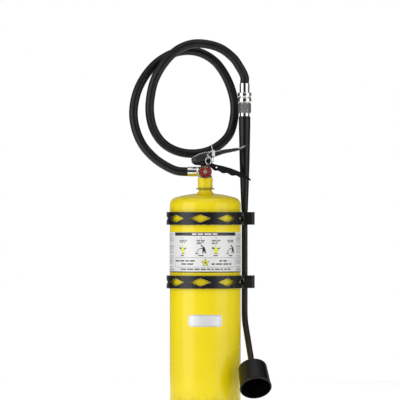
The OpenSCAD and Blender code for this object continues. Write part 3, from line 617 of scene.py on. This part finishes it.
def tube(name: str, line: Sequence[Vector], radius: Callable[[float], float], sides: int,
         side_of: Point, squash: float = 1.0) -> Object:
    """Sweeps a round or oval section along a line.

    Args:
        name: The piece's name.
        line: The middle of the tube.
        radius: The radius for each share of the length.
        sides: How many sides the section has.
        side_of: A direction that the line never runs in.
        squash: How thin the section is across side_of.

    Returns:
        The tube, closed at both ends, with a UV map in metres round and along it.
    """
    last = len(line) - 1
    distance = [0.0]
    for a, b in zip(line, line[1:]):
        distance.append(distance[-1] + (b - a).length)
    points = []
    for i, centre in enumerate(line):
        ahead = (line[min(last, i + 1)] - line[max(0, i - 1)]).normalized()
        across = ahead.cross(Vector(side_of)).normalized()
        up = ahead.cross(across)
        r = radius(distance[i] / distance[-1])
        points += [centre + r * (math.cos(a) * across + squash * math.sin(a) * up)
                   for a in (math.tau * k / sides for k in range(sides))]
    walls = [(i * sides + k, i * sides + n, (i + 1) * sides + n, (i + 1) * sides + k)
             for i in range(last) for k, n in neighbours(sides)]
    caps = [tuple(reversed(range(sides))), tuple(last * sides + k for k in range(sides))]
    piece = piece_from(name, points, walls + caps)
    uv = piece.data.uv_layers.new(name="UVMap")
    for number, wall in enumerate(walls):
        i, k = divmod(number, sides)
        for corner, (di, dk) in zip(piece.data.polygons[number].loop_indices, ((0, 0), (0, 1), (1, 1), (1, 0))):
            uv.data[corner].uv = ((k + dk) / sides * math.tau * radius(0.5), distance[i + di])
    for cap in (-2, -1):
        piece.data.polygons[len(walls) + 2 + cap].use_smooth = False
    return piece


def bead(name: str, ring_r: float, height: float, thick: float, ripples: int, seed: int) -> Object:
    """Makes a weld bead that runs round the cylinder.

    Args:
        name: The piece's name.
        ring_r: The radius to the bead's middle.
        height: The height of the bead's middle.
        thick: The bead's own radius.
        ripples: How many ripples it has.
        seed: The seed of its unevenness.

    Returns:
        The bead, as a closed ring.
    """
    draw = random.Random(seed)
    steps, sides = ripples * 4, 8
    lumps = [draw.uniform(0.9, 1.1) for _ in range(ripples)]
    points = []
    for i in range(steps):
        turn = math.tau * i / steps
        r = thick * lumps[i // 4] * (1 + 0.12 * math.sin(math.tau * i / 4))
        for k in range(sides):
            a = math.tau * k / sides
            out = ring_r + r * math.cos(a)
            points.append((out * math.cos(turn), out * math.sin(turn), height + r * math.sin(a)))
    faces = [(i * sides + k, j * sides + k, j * sides + n, i * sides + n)
             for i, j in neighbours(steps) for k, n in neighbours(sides)]
    return piece_from(name, points, faces)


def slab(name: str, outline: Sequence[Flat], y: float, depth: float, edge: float) -> Object:
    """Makes a flat plate that faces the front, with rounded edges.

    Args:
        name: The piece's name.
        outline: The outline in X and Z, anticlockwise from the front.
        y: The plate's front face.
        depth: How thick it is.
        edge: How far its edges are rounded.

    Returns:
        The plate.
    """
    shape = bmesh.new()
    face = shape.faces.new([shape.verts.new((x, y, z)) for x, z in outline])
    pushed = bmesh.ops.extrude_face_region(shape, geom=[face])
    back = [v for v in pushed["geom"] if isinstance(v, bmesh.types.BMVert)]
    bmesh.ops.translate(shape, vec=(0, depth, 0), verts=back)
    bmesh.ops.recalc_face_normals(shape, faces=shape.faces)
    bmesh.ops.bevel(shape, geom=list(shape.edges), offset=edge, segments=2, affect="EDGES", profile=0.6)
    return from_sheet(name, shape)


class Artwork:
    """Flat shapes in several inks, drawn on a plane and then laid on a surface."""

    def __init__(self, inks: Sequence[Finish]) -> None:
        """Starts an empty sheet for these inks."""
        self.inks = list(inks)
        self.sheet = bmesh.new()

    def shape(self, ink: Finish, outline: Sequence[Flat]) -> None:
        """Draws one filled outline, in millimetres, anticlockwise."""
        face = self.sheet.faces.new([self.sheet.verts.new((u * MM, 0.0, v * MM)) for u, v in outline])
        face.material_index = self.inks.index(ink)
        face.smooth = True

    def bar(self, ink: Finish, left: float, right: float, low: float, high: float) -> None:
        """Draws a filled rectangle."""
        self.shape(ink, [(left, low), (right, low), (right, high), (left, high)])

    def disc(self, ink: Finish, centre: Flat, radius: float, sides: int = 32) -> None:
        """Draws a filled circle."""
        self.shape(ink, around(centre, radius, sides))

    def band(self, ink: Finish, outer: Sequence[Flat], inner: Sequence[Flat]) -> None:
        """Draws the closed band between two outlines that have as many points."""
        for k, n in neighbours(len(outer)):
            self.shape(ink, [outer[k], outer[n], inner[n], inner[k]])

    def frame(self, ink: Finish, left: float, right: float, low: float, high: float, thick: float) -> None:
        """Draws a rectangle's border of that thickness."""
        outer, inner = ([(left + t, low + t), (right - t, low + t), (right - t, high - t), (left + t, high - t)]
                        for t in (0, thick))
        self.band(ink, outer, inner)

    def words(self, ink: Finish, left: float, right: float, low: float, tall: float, draw: random.Random) -> None:
        """Draws one blank line of copy, as small bars with gaps.

        Args:
            ink: The ink.
            left: Where the line starts.
            right: Where the line ends at the latest.
            low: The bars' lower edge.
            tall: The bars' height.
            draw: The source of the bars' lengths.
        """
        at = left
        while at < right - 2 * tall:
            length = min(draw.uniform(2.0, 5.5) * tall, right - at)
            self.bar(ink, at, at + length, low, low + tall)
            at += length + 0.9 * tall

    def lay(self, name: str, onto: Callable[[Flat], Point], step: float = LABEL_STRIP) -> Object:
        """Cuts the sheet into strips and lays it on a surface of the extinguisher.

        Args:
            name: The piece's name.
            onto: Gives the surface's point for each point of the sheet, in metres.
            step: The width of the strips, in metres, or 0 for a flat surface.

        Returns:
            The piece, with a material for each ink.
        """
        if step:
            spread = [v.co.x for v in self.sheet.verts]
            for i in range(math.ceil(min(spread) / step), math.floor(max(spread) / step) + 1):
                whole = list(self.sheet.verts) + list(self.sheet.edges) + list(self.sheet.faces)
                bmesh.ops.bisect_plane(self.sheet, geom=whole, plane_co=(i * step, 0, 0), plane_no=(1, 0, 0))
        for vert in self.sheet.verts:
            vert.co = onto((vert.co.x, vert.co.z))
        piece = from_sheet(name, self.sheet)
        SHOP.dress(piece, *self.inks)
        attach(piece, "extinguisher")
        return piece


def around(centre: Flat, radius: float, sides: int, start: float = 0.0, inner: float = 1.0) -> list[Flat]:
    """Gives points round a centre.

    Args:
        centre: The centre.
        radius: The radius of the even points.
        sides: How many points there are.
        start: The first point's angle, in degrees from +X.
        inner: The odd points' radius, as a share of the radius.

    Returns:
        The points, anticlockwise.
    """
    points = []
    for k in range(sides):
        a = math.radians(start + 360 * k / sides)
        r = radius * (inner if k % 2 else 1.0)
        points.append((centre[0] + r * math.cos(a), centre[1] + r * math.sin(a)))
    return points


def rounded_box(half_w: float, half_h: float, centre_z: float, corner: float) -> list[Flat]:
    """Gives a rounded rectangle's outline, anticlockwise, with its middle at u = 0."""
    outline = []
    for quarter, (sx, sz) in enumerate(((1, 1), (-1, 1), (-1, -1), (1, -1))):
        for k in range(7):
            a = math.radians(90 * quarter + 15 * k)
            outline.append((sx * (half_w - corner) + corner * math.cos(a),
                            centre_z + sz * (half_h - corner) + corner * math.sin(a)))
    return outline


def on_cylinder(radius: float) -> Callable[[Flat], Point]:
    """Gives the map from a flat sheet to a cylinder of that radius, with u = 0 at the front."""
    return lambda p: (radius * math.sin(p[0] / radius), -radius * math.cos(p[0] / radius), p[1])


# --- sub-assemblies


class SubAssembly:
    """Parts that belong together: the new pieces that it makes, and the finishes of its CAD nodes."""

    coats: ClassVar[dict[Finish, tuple[str, ...]]] = {}

    def build(self) -> list[Object]:
        """Makes the new pieces. A plain sub-assembly has none."""
        return []

    def dress(self) -> None:
        """Puts the finishes on the CAD nodes."""
        for finish, nodes in self.coats.items():
            SHOP.coat(finish, *nodes)


@dataclass
class PressureCylinder(SubAssembly):
    """The painted cylinder with its foot ring, neck and weld beads, and the fill and tube inside."""

    coats = {YELLOW: ("cylinder_shell", "foot_ring", "neck_collar"), COLLAR: ("service_collar",),
             POWDER: ("powder_charge",), ALLOY: ("siphon_tube",)}

    foot_joint: Flat = (100.2 * MM, 16.6 * MM)
    neck_joint: Flat = (21.6 * MM, 604.4 * MM)
    foot_bead: float = 1.3 * MM
    foot_ripples: int = 150
    neck_bead: float = 2.2 * MM
    neck_ripples: int = 44
    seeds: tuple[int, int] = (3, 5)

    def build(self) -> list[Object]:
        """Makes the weld beads at the foot ring and at the neck."""
        foot = bead("foot_weld", *self.foot_joint, self.foot_bead, self.foot_ripples, self.seeds[0])
        neck = bead("neck_weld", *self.neck_joint, self.neck_bead, self.neck_ripples, self.seeds[1])
        for piece in (foot, neck):
            SHOP.dress(piece, YELLOW)
            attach(piece, "extinguisher")
        return [foot, neck]


@dataclass
class InstructionLabel(SubAssembly):
    """The wrap-round label with blank copy lines and plain pictures, in millimetres."""

    coats = {LABEL: ("instruction_label",)}
    figures: ClassVar[tuple] = (
        ((LIME_INK, ((-5.2, 434), (4.6, 433), (6.6, 444), (2.6, 450), (-3, 451), (-6.2, 443))),
         (LIME_INK, around((-1, 453.6), 2.6, 16)),
         (GREY_INK, ((-12.4, 445.8), (-6, 443.4), (-5.0, 448.4), (-10.8, 451.0))),
         (GREY_INK, ((5.2, 443), (12.0, 446.2), (11, 449.4), (4.6, 447.2))),
         (GREY_INK, ((-6, 431.0), (6.4, 431.0), (6.4, 432.6), (-6, 432.6)))),
        ((BLACK_INK, around((2.2, 453.6), 2.7, 16)),
         (BLACK_INK, ((3.6, 432), (6.4, 432), (8.2, 440), (12, 432), (14.4, 432.6), (12.4, 444), (9, 452),
                      (4.6, 451), (4.2, 443))),
         (GREY_INK, ((-5.4, 444.0), (5, 446.0), (5, 448.6), (-5.4, 445.9))),
         (GREY_INK, ((-13.2, 434), (-5.6, 444.2), (-6.9, 445.4), (-15, 434))),
         (GREY_INK, ((-16, 430.6), (-8, 430.6), (-8, 433.4), (-16, 433.4)))))

    radius: float = 102.06
    overprint: float = 0.06
    header: Flat = (482.8, 492.2)
    title: Numbers = (-38, 40, 485.6, 3.9)
    foot_bar: Flat = (377.6, 380.6)
    edge_x: float = 86.0
    side_reach: float = 99.0
    box: Numbers = (2.0, 392.6, 420.6, 0.9)
    copy: tuple[Numbers, ...] = (
        (-84, -20, 409.0, 4.0), (-68, -34, 400.0, 4.0), (40, 62, 409.0, 4.0), (18, 80, 400.0, 4.0),
        (-70, 72, 385.4, 3.6))
    star_at: Flat = (0.5, 406.0)
    star_r: Flat = (12.4, 10.2)
    star_inner: float = 0.52
    star_hub: Flat = (0.4, 3.1)
    panels: Numbers = (-64.0, -12.0, 31.0, 73.0)
    panel_rows: tuple[int, ...] = (2, 3, 3, 2)
    panel_top: Numbers = (-13, 14, 468.2, 4.6, 2.6)
    panel_foot: Numbers = (-8, 9, 424.8, 2.8)
    panel_dot: Flat = (476.8, 1.5)
    side_rows: int = 24
    side_low: float = 384.5
    side_step: float = 4.4
    side_tall: float = 1.8
    side_gap: float = 4.0
    ragged: float = 14.0
    seed: int = 11

    def seen(self, x: float) -> float:
        """Gives the distance round the label of a point that stands at x from the front."""
        return self.radius * math.asin(x / self.radius)

    def build(self) -> list[Object]:
        """Prints the label, and the star and the heading over it."""
        art = Artwork([BLACK_INK, GREY_INK, LINE_INK, LIME_INK, PANEL_INK])
        draw = random.Random(self.seed)
        title = Artwork([WHITE_INK])
        left, right, low, tall = self.title
        title.words(WHITE_INK, self.seen(left), self.seen(right), low, tall, draw)
        edge, side = self.seen(self.edge_x), self.radius * math.radians(self.side_reach)
        art.bar(BLACK_INK, -edge, edge, *self.header)
        art.bar(BLACK_INK, -side, side, *self.foot_bar)
        gap, *heights, thick = self.box
        art.frame(LINE_INK, -edge + gap, edge - gap, *heights, thick)
        for left, right, low, tall in self.copy:
            art.words(GREY_INK, self.seen(left), self.seen(right), low, tall, draw)
        star = (self.seen(self.star_at[0]), self.star_at[1])
        art.shape(GREY_INK, around(star, self.star_r[0], 10, 90, self.star_inner))
        for number, x in enumerate(self.panels):
            self.picture(art, number, self.seen(x), draw)
        self.side_copy(art, edge + self.side_gap, side - self.side_gap, draw)
        piece = art.lay("label_print", on_cylinder(self.radius * MM))
        top = Artwork([LIME_INK, BLACK_INK])
        top.shape(LIME_INK, around(star, self.star_r[1], 10, 90, self.star_inner))
        top.shape(BLACK_INK, around((star[0], star[1] - self.star_hub[0]), self.star_hub[1], 24))
        over = on_cylinder((self.radius + self.overprint) * MM)
        return [piece, top.lay("label_badge", over), title.lay("label_heading", over)]

    def picture(self, art: Artwork, number: int, u: float, draw: random.Random) -> None:
        """Prints one of the four panels: copy lines above, a plain picture, and a line below.

        Args:
            art: The label's artwork.
            number: The panel's number, from 0.
            u: The panel's middle, as the distance round the label.
            draw: The source of the copy lines' lengths.
        """
        dot, dot_r = self.panel_dot
        art.disc(LINE_INK, (u, dot), dot_r, 16)
        left, right, low, step, tall = self.panel_top
        for row in range(self.panel_rows[number]):
            art.words(GREY_INK, u + left + 2 * (row % 2), u + right - 4 * row, low - step * row, tall, draw)
        left, right, low, tall = self.panel_foot
        art.words(GREY_INK, u + left, u + right, low, tall, draw)
        for ink, outline in self.figures[number % 2]:
            art.shape(ink, [(u + du, v) for du, v in outline])

    def side_copy(self, art: Artwork, inside: float, outside: float, draw: random.Random) -> None:
        """Prints the small grey copy on both sides of the label, from inside to outside."""
        for sign in (-1, 1):
            left, right = sorted((sign * inside, sign * outside))
            for row in (row for row in range(self.side_rows) if row % 7 != 3):
                art.words(PANEL_INK if row % 5 else GREY_INK, left, right - draw.uniform(0, self.ragged),
                          self.side_low + self.side_step * row, self.side_tall, draw)


@dataclass
class Nameplate(SubAssembly):
    """The blank silver plate with its plain border, in millimetres."""

    coats = {PLATE: ("nameplate",)}
    radius: float = 102.21
    middle: float = 240.0
    half: Flat = (48.0, 17.0)
    corner: float = 9.0
    inset: float = 1.6
    line: float = 1.1

    def build(self) -> list[Object]:
        """Prints the border."""
        art = Artwork([BORDER])
        rims = [rounded_box(self.half[0] - gap, self.half[1] - gap, self.middle, self.corner - gap)
                for gap in (self.inset, self.inset + self.line)]
        art.band(BORDER, *rims)
        return [art.lay("plate_border", on_cylinder(self.radius * MM))]


class WandBands(SubAssembly):
    """The two punched bands, their hooks and their fasteners."""

    coats = {BAND_COAT: ("upper_band", "lower_band"), BLACK: ("upper_wand_hook", "lower_wand_hook"),
             ZINC: ("hook_rivets", "band_bolts", "band_nuts")}


@dataclass
class StemSpring(SubAssembly):
    """The spring under the valve's stem, wound as a coil of fixed length."""

    coil_r: float = 6.4 * MM
    wire_r: float = 0.7 * MM
    turns: int = 5
    per_turn: int = 24
    sides: int = 10

    def build(self) -> list[Object]:
        """Winds the spring in the place of the CAD spring, which it hides."""
        lowest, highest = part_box("stem_spring")
        low, high = lowest.z + self.wire_r, highest.z - self.wire_r
        steps = self.turns * self.per_turn
        line = []
        for k in range(steps + 1):
            a = math.tau * k / self.per_turn
            height = low + (high - low) * k / steps
            line.append(Vector((self.coil_r * math.cos(a), self.coil_r * math.sin(a), height)))
        piece = tube("spring_coil", line, lambda s: self.wire_r, self.sides, (0, 0, 1))
        SHOP.dress(piece, WIRE)
        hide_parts("stem_spring")
        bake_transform(piece)
        LOG.info("spring from %.4f to %.4f m", low, high)
        return [piece]


@dataclass
class ValveAndGauge(SubAssembly):
    """The plated valve with its pressure gauge, whose print is in millimetres."""

    coats = {NICKEL: ("valve_body", "outlet_nut", "valve_end_ferrule"), RIM_PAINT: ("gauge_case",),
             ZINC: ("valve_stem", "siphon_adapter", "gauge_needle_post"), SEAL_RUBBER: ("neck_seal", "stem_seal"),
             DIAL_RED: ("gauge_dial",), NEEDLE_PAINT: ("gauge_needle",), GLASS: ("gauge_lens",)}
    dial_y: float = -31.08 * MM
    axis_z: float = 666.0
    zone: Flat = (8.6, 15.6)
    zone_half: float = 15.0
    tick: Flat = (12.6, 15.2)
    tick_half: float = 1.4
    ring: Flat = (16.9, 16.3)
    hub: float = 5.2
    tick_at: Numbers = (-120.0, -90.0, -60.0, -30.0, 30.0, 60.0, 90.0, 120.0)

    def sector(self, inner: float, outer: float, middle: float, half: float) -> list[Flat]:
        """Gives a ring sector's outline, with angles in degrees clockwise from the top."""
        steps = max(2, math.ceil(half / 3))
        angles = [math.radians(90 - middle - half + 2 * half * k / steps) for k in range(steps + 1)]
        arcs = [(outer, angles), (inner, angles[::-1])]
        return [(r * math.cos(a), self.axis_z + r * math.sin(a)) for r, turn in arcs for a in turn]

    def build(self) -> list[Object]:
        """Prints the dial's zone, ticks, arc and hub."""
        art = Artwork([DIAL_PALE, DIAL_GREEN])
        middle = (0, self.axis_z)
        art.shape(DIAL_GREEN, self.sector(*self.zone, 0.0, self.zone_half))
        for angle in self.tick_at:
            art.shape(DIAL_PALE, self.sector(*self.tick, angle, self.tick_half))
        art.band(DIAL_PALE, *(around(middle, r, 64) for r in self.ring))
        art.disc(DIAL_PALE, middle, self.hub, 48)
        return [art.lay("dial_print", lambda p: (p[0], self.dial_y, p[1]), 0.0)]


@dataclass
class HandleAndLever(SubAssembly):
    """The carry handle, the operating lever with its bright bends, partly polished metal and partly a painted
    highlight, and their rivets, in millimetres.
    """

    coats = {BLACK: ("carry_handle",), LEVER_COAT: ("operating_lever",), DARK_RIVET: ("handle_rivets",),
             ZINC: ("lever_pivot_pin",)}
    top: tuple[Flat, ...] = ((-39.2, 701.6), (-37.0, 706.9), (-32.2, 710.1), (-24.0, 713.7), (-14.0, 718.4),
                             (8.0, 723.1), (20.0, 724.1), (34.0, 725.7), (54.0, 728.9))
    tip: tuple[Flat, ...] = ((90.0, 733.4), (100.0, 734.7), (102.4, 735.5), (116.2, 742.3))
    half_w: float = 15.5
    sink: float = 1.0
    bend_r: float = 1.3

    def build(self) -> list[Object]:
        """Makes the bright bends along the lever's upper edges, at its nose and at its tip: partly worn bare metal,
        partly a painted highlight.
        """
        made = []
        for side, hand in ((-1, "near"), (1, "far")):
            for name, edge in (("nose", self.top), ("tip", self.tip)):
                y = side * (self.half_w - self.sink)
                line = through_points([(x * MM, y * MM, (z - self.sink) * MM) for x, z in edge], 4)
                piece = tube(f"lever_{name}_bend_{hand}", line, self.thickness, 12, (0, 1, 0))
                SHOP.dress(piece, BARE_LEVER_HIGHLIGHT)
                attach(piece, "lever")
                made.append(piece)
        return made

    def thickness(self, share: float) -> float:
        """Gives a bend's radius in metres, which tapers off towards both ends."""
        return self.bend_r * MM * min(1.0, 0.3 + 6 * min(share, 1 - share))


@dataclass
class PinAndSeal(SubAssembly):
    """The safety pin with its ring, and the tamper seal round the lever."""

    coats = {WIRE: ("safety_pin", "pull_ring")}
    eye: Point = (9.0, -27.0, 710.0)
    strap_x: float = 23.5
    side_y: float = 17.5
    under_z: float = 693.7
    over_z: float = 729.5
    strap_r: float = 0.7 * MM
    tag_y: float = -18.5 * MM
    tag_t: float = 1.0 * MM
    tag_half: Numbers = (4.5, 3.2)
    tag_low: Flat = (20.0, 18.6)
    tag_high: Flat = (3.0, 4.4)
    tag_edge: float = 0.22 * MM
    tail_edge: float = 0.12 * MM
    tail_x: float = 2.9
    tail_low: float = 4.2
    tail_lean: float = 3.6
    tail_step: float = 1.56
    notches: int = 14
    per: int = 8
    sides: int = 12

    def strap_route(self) -> list[Point]:
        """Gives the strap's points from the eye, under the lever, over it and back to the eye, in metres."""
        x, y, low, high = self.strap_x, self.side_y, self.under_z, self.over_z
        ex, ey, ez = self.eye
        marks = [(ex + 0.6, ey, ez), (ex + 3.4, ey + 0.6, ez - 0.4), (x - 3, -y - 1, low + 2), (x, -y + 4, low),
                 (x, y - 3, low), (x, y, low + 4), (x, y, high - 4), (x, y - 3, high), (x, -y + 4, high),
                 (x - 3, -y, high - 2), (ex, ey + 1, ez + 7.6), (ex - 3, ey + 0.6, ez + 4.6),
                 (ex - 2.8, ey, ez + 0.6), (ex - 0.6, ey, ez)]
        return [tuple(c * MM for c in p) for p in marks]

    def build(self) -> list[Object]:
        """Makes the strap round the lever, its loop through the pin's eye, and the tag with its tail."""
        line = through_points(self.strap_route(), self.per)
        out, back = round(1.5 * self.per), round(9.5 * self.per)
        side = (0.5, -0.6, 0.6)
        strap = tube("seal_strap", line[out:back + 1], lambda s: self.strap_r, self.sides, side)
        loop = tube("seal_eye_loop", line[back:] + line[:out + 1], lambda s: self.strap_r, self.sides, side)
        tag, tail = self.tag(), self.tail()
        for piece, body in ((strap, "extinguisher"), (loop, "pin"), (tag, "extinguisher"), (tail, "extinguisher")):
            SHOP.dress(piece, STRAP)
            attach(piece, body)
            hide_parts("tamper_seal")
        return [strap, loop, tag, tail]

    def tag(self) -> Object:
        """Makes the tag, a rectangle with cut corners."""
        x, top, (wide, slim) = self.strap_x, self.over_z, self.tag_half
        (bottom, above), (head, below) = self.tag_low, self.tag_high
        outline = ((x - slim, top - bottom), (x + slim, top - bottom), (x + wide, top - above),
                   (x + wide, top - below), (x + slim, top - head), (x - slim, top - head),
                   (x - wide, top - below), (x - wide, top - above))
        return slab("seal_tag", [(u * MM, v * MM) for u, v in outline], self.tag_y, self.tag_t, self.tag_edge)

    def tail(self) -> Object:
        """Makes the notched free end that stands up from the tag and leans to the left."""
        left, right = [], []
        for k in range(self.notches + 1):
            lean = -self.tail_lean * (k / self.notches) ** 1.3
            half = 0.5 if k == self.notches else 1.1 if k % 2 else 0.8
            height = self.over_z - self.tail_low + self.tail_step * k
            left.append(((self.strap_x - self.tail_x + lean - half) * MM, height * MM))
            right.append(((self.strap_x - self.tail_x + lean + half) * MM, height * MM))
        return slab("seal_tail", right + left[::-1], self.tag_y, self.tag_t, self.tail_edge)


@dataclass
class DischargeHose(SubAssembly):
    """The looped hose from the valve's ferrule to the wand's ferrule."""

    diameter: float = 25.4 * MM
    port_z: float = 666.0
    wand: Flat = (113.09, 50.0)
    end_rise: float = 233.05
    last_rises: Flat = (40.0, 24.0)
    last_bend: Flat = (0.5, 0.3)
    sides: int = 32
    per: int = 8
    loop: tuple[Point, ...] = (
        (-29.45, 0, 0), (-57.45, 0, 0), (-84, 2, 3), (-116, 7, 18), (-147, 14, 40), (-177, 21, 73),
        (-197, 29, 114), (-206, 37, 160), (-202, 45, 206), (-188, 51, 248), (-163, 57, 288), (-130, 62, 320),
        (-88, 67, 342), (-46, 71, 348), (-8, 74, 340), (27, 76, 318), (53, 79, 285), (73, 82, 243),
        (84, 83, 196), (82, 82, 149), (69, 79, 107), (41, 75, 77), (4, 71, 58), (-40, 67, 52), (-84, 62, 60),
        (-122, 56, 83), (-148, 50, 121), (-159, 44, 168), (-157, 39, 215), (-145, 35, 264), (-119, 32, 310),
        (-82, 31, 348), (-40, 31, 366), (4, 33, 366), (46, 37, 353), (80, 42, 327), (101, 46, 297))
    follow: Flat = (690.0, 890.0)

    def route(self) -> list[Point]:
        """Gives the hose's points in metres."""
        x, y = self.wand
        far, near = (self.end_rise + rise for rise in self.last_rises)
        ends = ((x - self.last_bend[0], y - self.last_bend[1], far), (x, y, near), (x, y, self.end_rise))
        return [(px * MM, py * MM, (self.port_z + pz) * MM) for px, py, pz in (*self.loop, *ends)]

    def build(self) -> list[Object]:
        line = through_points(self.route(), self.per)
        piece = tube("hose_cover", line, lambda s: self.diameter / 2, self.sides, (0, 1, 0))
        SHOP.dress(piece, HOSE)
        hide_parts("discharge_hose")
        length = sum((b - a).length for a, b in zip(line, line[1:]))
        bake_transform(piece)
        LOG.info("hose length %.3f m", length)
        return [piece]


class Wand(SubAssembly):
    """The wand from its swivel down to the applicator bell."""

    coats = {NICKEL: ("wand_end_ferrule", "swivel_body", "wand_adapter"), GREY_ZINC: ("swivel_nut",),
             GRIP: ("wand_grip",), BLACK: ("wand_tube",), BELL: ("bell_socket", "applicator_bell")}


# --- studio


@dataclass(frozen=True)
class SoftBox:
    """One rectangular lamp that faces the object."""

    name: str
    at: Point
    size: Flat
    power: float
    aim: Point = (0.0, 0.0, 0.55)
    mirrored: bool = True

    def build(self) -> None:
        """Hangs the lamp."""
        lamp = bpy.data.lights.new(self.name, "AREA")
        lamp.shape = "RECTANGLE"
        lamp.size, lamp.size_y = self.size
        lamp.energy = self.power
        holder = linked(self.name, lamp)
        holder.location = self.at
        holder.rotation_euler = (Vector(self.aim) - Vector(self.at)).to_track_quat("-Z", "Y").to_euler()
        holder.visible_glossy = self.mirrored


@dataclass
class Studio:
    """The pale floor, the soft light, the dark flags for the metal, and the camera."""

    view_middle: Flat = (-15.0 * MM, 584.7 * MM)
    view_width: float = 1146.4 * MM
    camera_away: float = 20.0
    sensor: float = 36.0
    floor_r: float = 2.6
    room_light: float = 0.30
    backdrop: float = 1.0
    floor_glow: float = 0.5
    floor_sides: int = 96
    floor_tones: tuple[Colour, Colour] = ((0.86, 0.86, 0.86), (0.89, 0.89, 0.89))
    clip: Flat = (0.5, 200.0)
    boxes: tuple[SoftBox, ...] = (
        SoftBox("key_box", (-2.3, -1.5, 1.1), (2.2, 2.4), 34.0),
        SoftBox("fill_box", (2.3, -1.6, 1.0), (2.2, 2.4), 20.0),
        SoftBox("front_box", (0.0, -3.4, 1.3), (2.0, 2.0), 20.0, mirrored=False),
        SoftBox("top_box", (0.0, -0.6, 2.9), (2.6, 2.6), 14.0),
        SoftBox("back_box", (-0.6, 2.6, 1.8), (1.6, 1.6), 14.0, mirrored=False),
    )
    flags: tuple[tuple[Point, Flat], ...] = (
        ((0.0, -3.0, 0.8), (2.3, 2.8)), ((-1.9, 1.3, 0.8), (1.4, 2.8)), ((1.9, 1.3, 0.8), (1.4, 2.8)),
    )

    def camera(self) -> None:
        """Sets the camera level with the object's middle, with a long lens."""
        data = bpy.data.cameras.new("front_view")
        data.sensor_width = self.sensor
        data.lens = self.sensor * self.camera_away / self.view_width
        data.clip_start, data.clip_end = self.clip
        holder = linked("front_view", data)
        holder.location = (self.view_middle[0], -self.camera_away, self.view_middle[1])
        holder.rotation_euler = (math.radians(90), 0.0, 0.0)
        bpy.context.scene.camera = holder

    def floor(self) -> None:
        """Lays the round floor."""
        rim = [(x, y, 0.0) for x, y in around((0, 0), self.floor_r, self.floor_sides)]
        piece = piece_from("studio_floor", rim, [tuple(range(self.floor_sides))], False)
        b = Bench("floor_paper", {"Roughness": 0.85, "Specular IOR Level": 0.2,
                                  "Emission Color": (1.0, 1.0, 1.0, 1.0), "Emission Strength": self.floor_glow})
        b.feed(Base_Color=b.blend(b.noise(b.place(), 3.0, 4.0).rise(0.3, 0.7), *self.floor_tones))
        piece.data.materials.append(b.material)

    def dark_flags(self) -> None:
        """Stands dark cards round the object, which only the metal reflects."""
        for number, (at, (wide, tall)) in enumerate(self.flags):
            corners = [(sx * wide / 2, sz * tall / 2, 0.0) for sx, sz in ((-1, -1), (1, -1), (1, 1), (-1, 1))]
            card = piece_from(f"flag_{number}", corners, [(0, 1, 2, 3)], False)
            turn = (Vector((0, 0, at[2])) - Vector(at)).to_track_quat("Z", "Y")
            card.matrix_world = Matrix.Translation(at) @ turn.to_matrix().to_4x4()
            cloth = Bench(f"flag_cloth_{number}", {"Base Color": (0.01, 0.01, 0.01, 1.0), "Roughness": 0.9})
            card.data.materials.append(cloth.material)
            card.visible_camera = card.visible_diffuse = card.visible_shadow = False
            card.visible_transmission = False

    def light(self) -> None:
        """Lights the room and hangs the lamps."""
        world = bpy.data.worlds.new("studio_room")
        world.use_nodes = True
        sky, links = world.node_tree.nodes["Background"], world.node_tree.links
        path = world.node_tree.nodes.new("ShaderNodeLightPath")
        level = world.node_tree.nodes.new("ShaderNodeMapRange")
        level.inputs[3].default_value, level.inputs[4].default_value = self.room_light, self.backdrop
        links.new(path.outputs["Is Camera Ray"], level.inputs[0])
        links.new(level.outputs[0], sky.inputs["Strength"])
        sky.inputs["Color"].default_value = (1.0, 1.0, 1.0, 1.0)
        bpy.context.scene.world = world
        bpy.context.scene.view_settings.view_transform = "Standard"
        for box in self.boxes:
            box.build()

    def build(self) -> None:
        """Makes the whole studio, the camera first."""
        self.camera()
        self.floor()
        self.dark_flags()
        self.light()


def main() -> None:
    """Builds the studio, the hose and every sub-assembly."""
    logging.basicConfig(level=logging.INFO, format="%(name)s: %(message)s")
    Studio().build()
    for part in (DischargeHose(), PressureCylinder(), InstructionLabel(), Nameplate(), StemSpring(),
                 ValveAndGauge(), HandleAndLever(), PinAndSeal(), WandBands(), Wand()):
        for piece in part.build():
            LOG.info("built %s", piece.name)
        part.dress()
    bare = sorted(set(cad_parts) - SHOP.coated - {"tamper_seal", "discharge_hose", "stem_spring"})
    LOG.info("nodes without a finish: %s", bare)


if __name__ == "__main__":
    main()
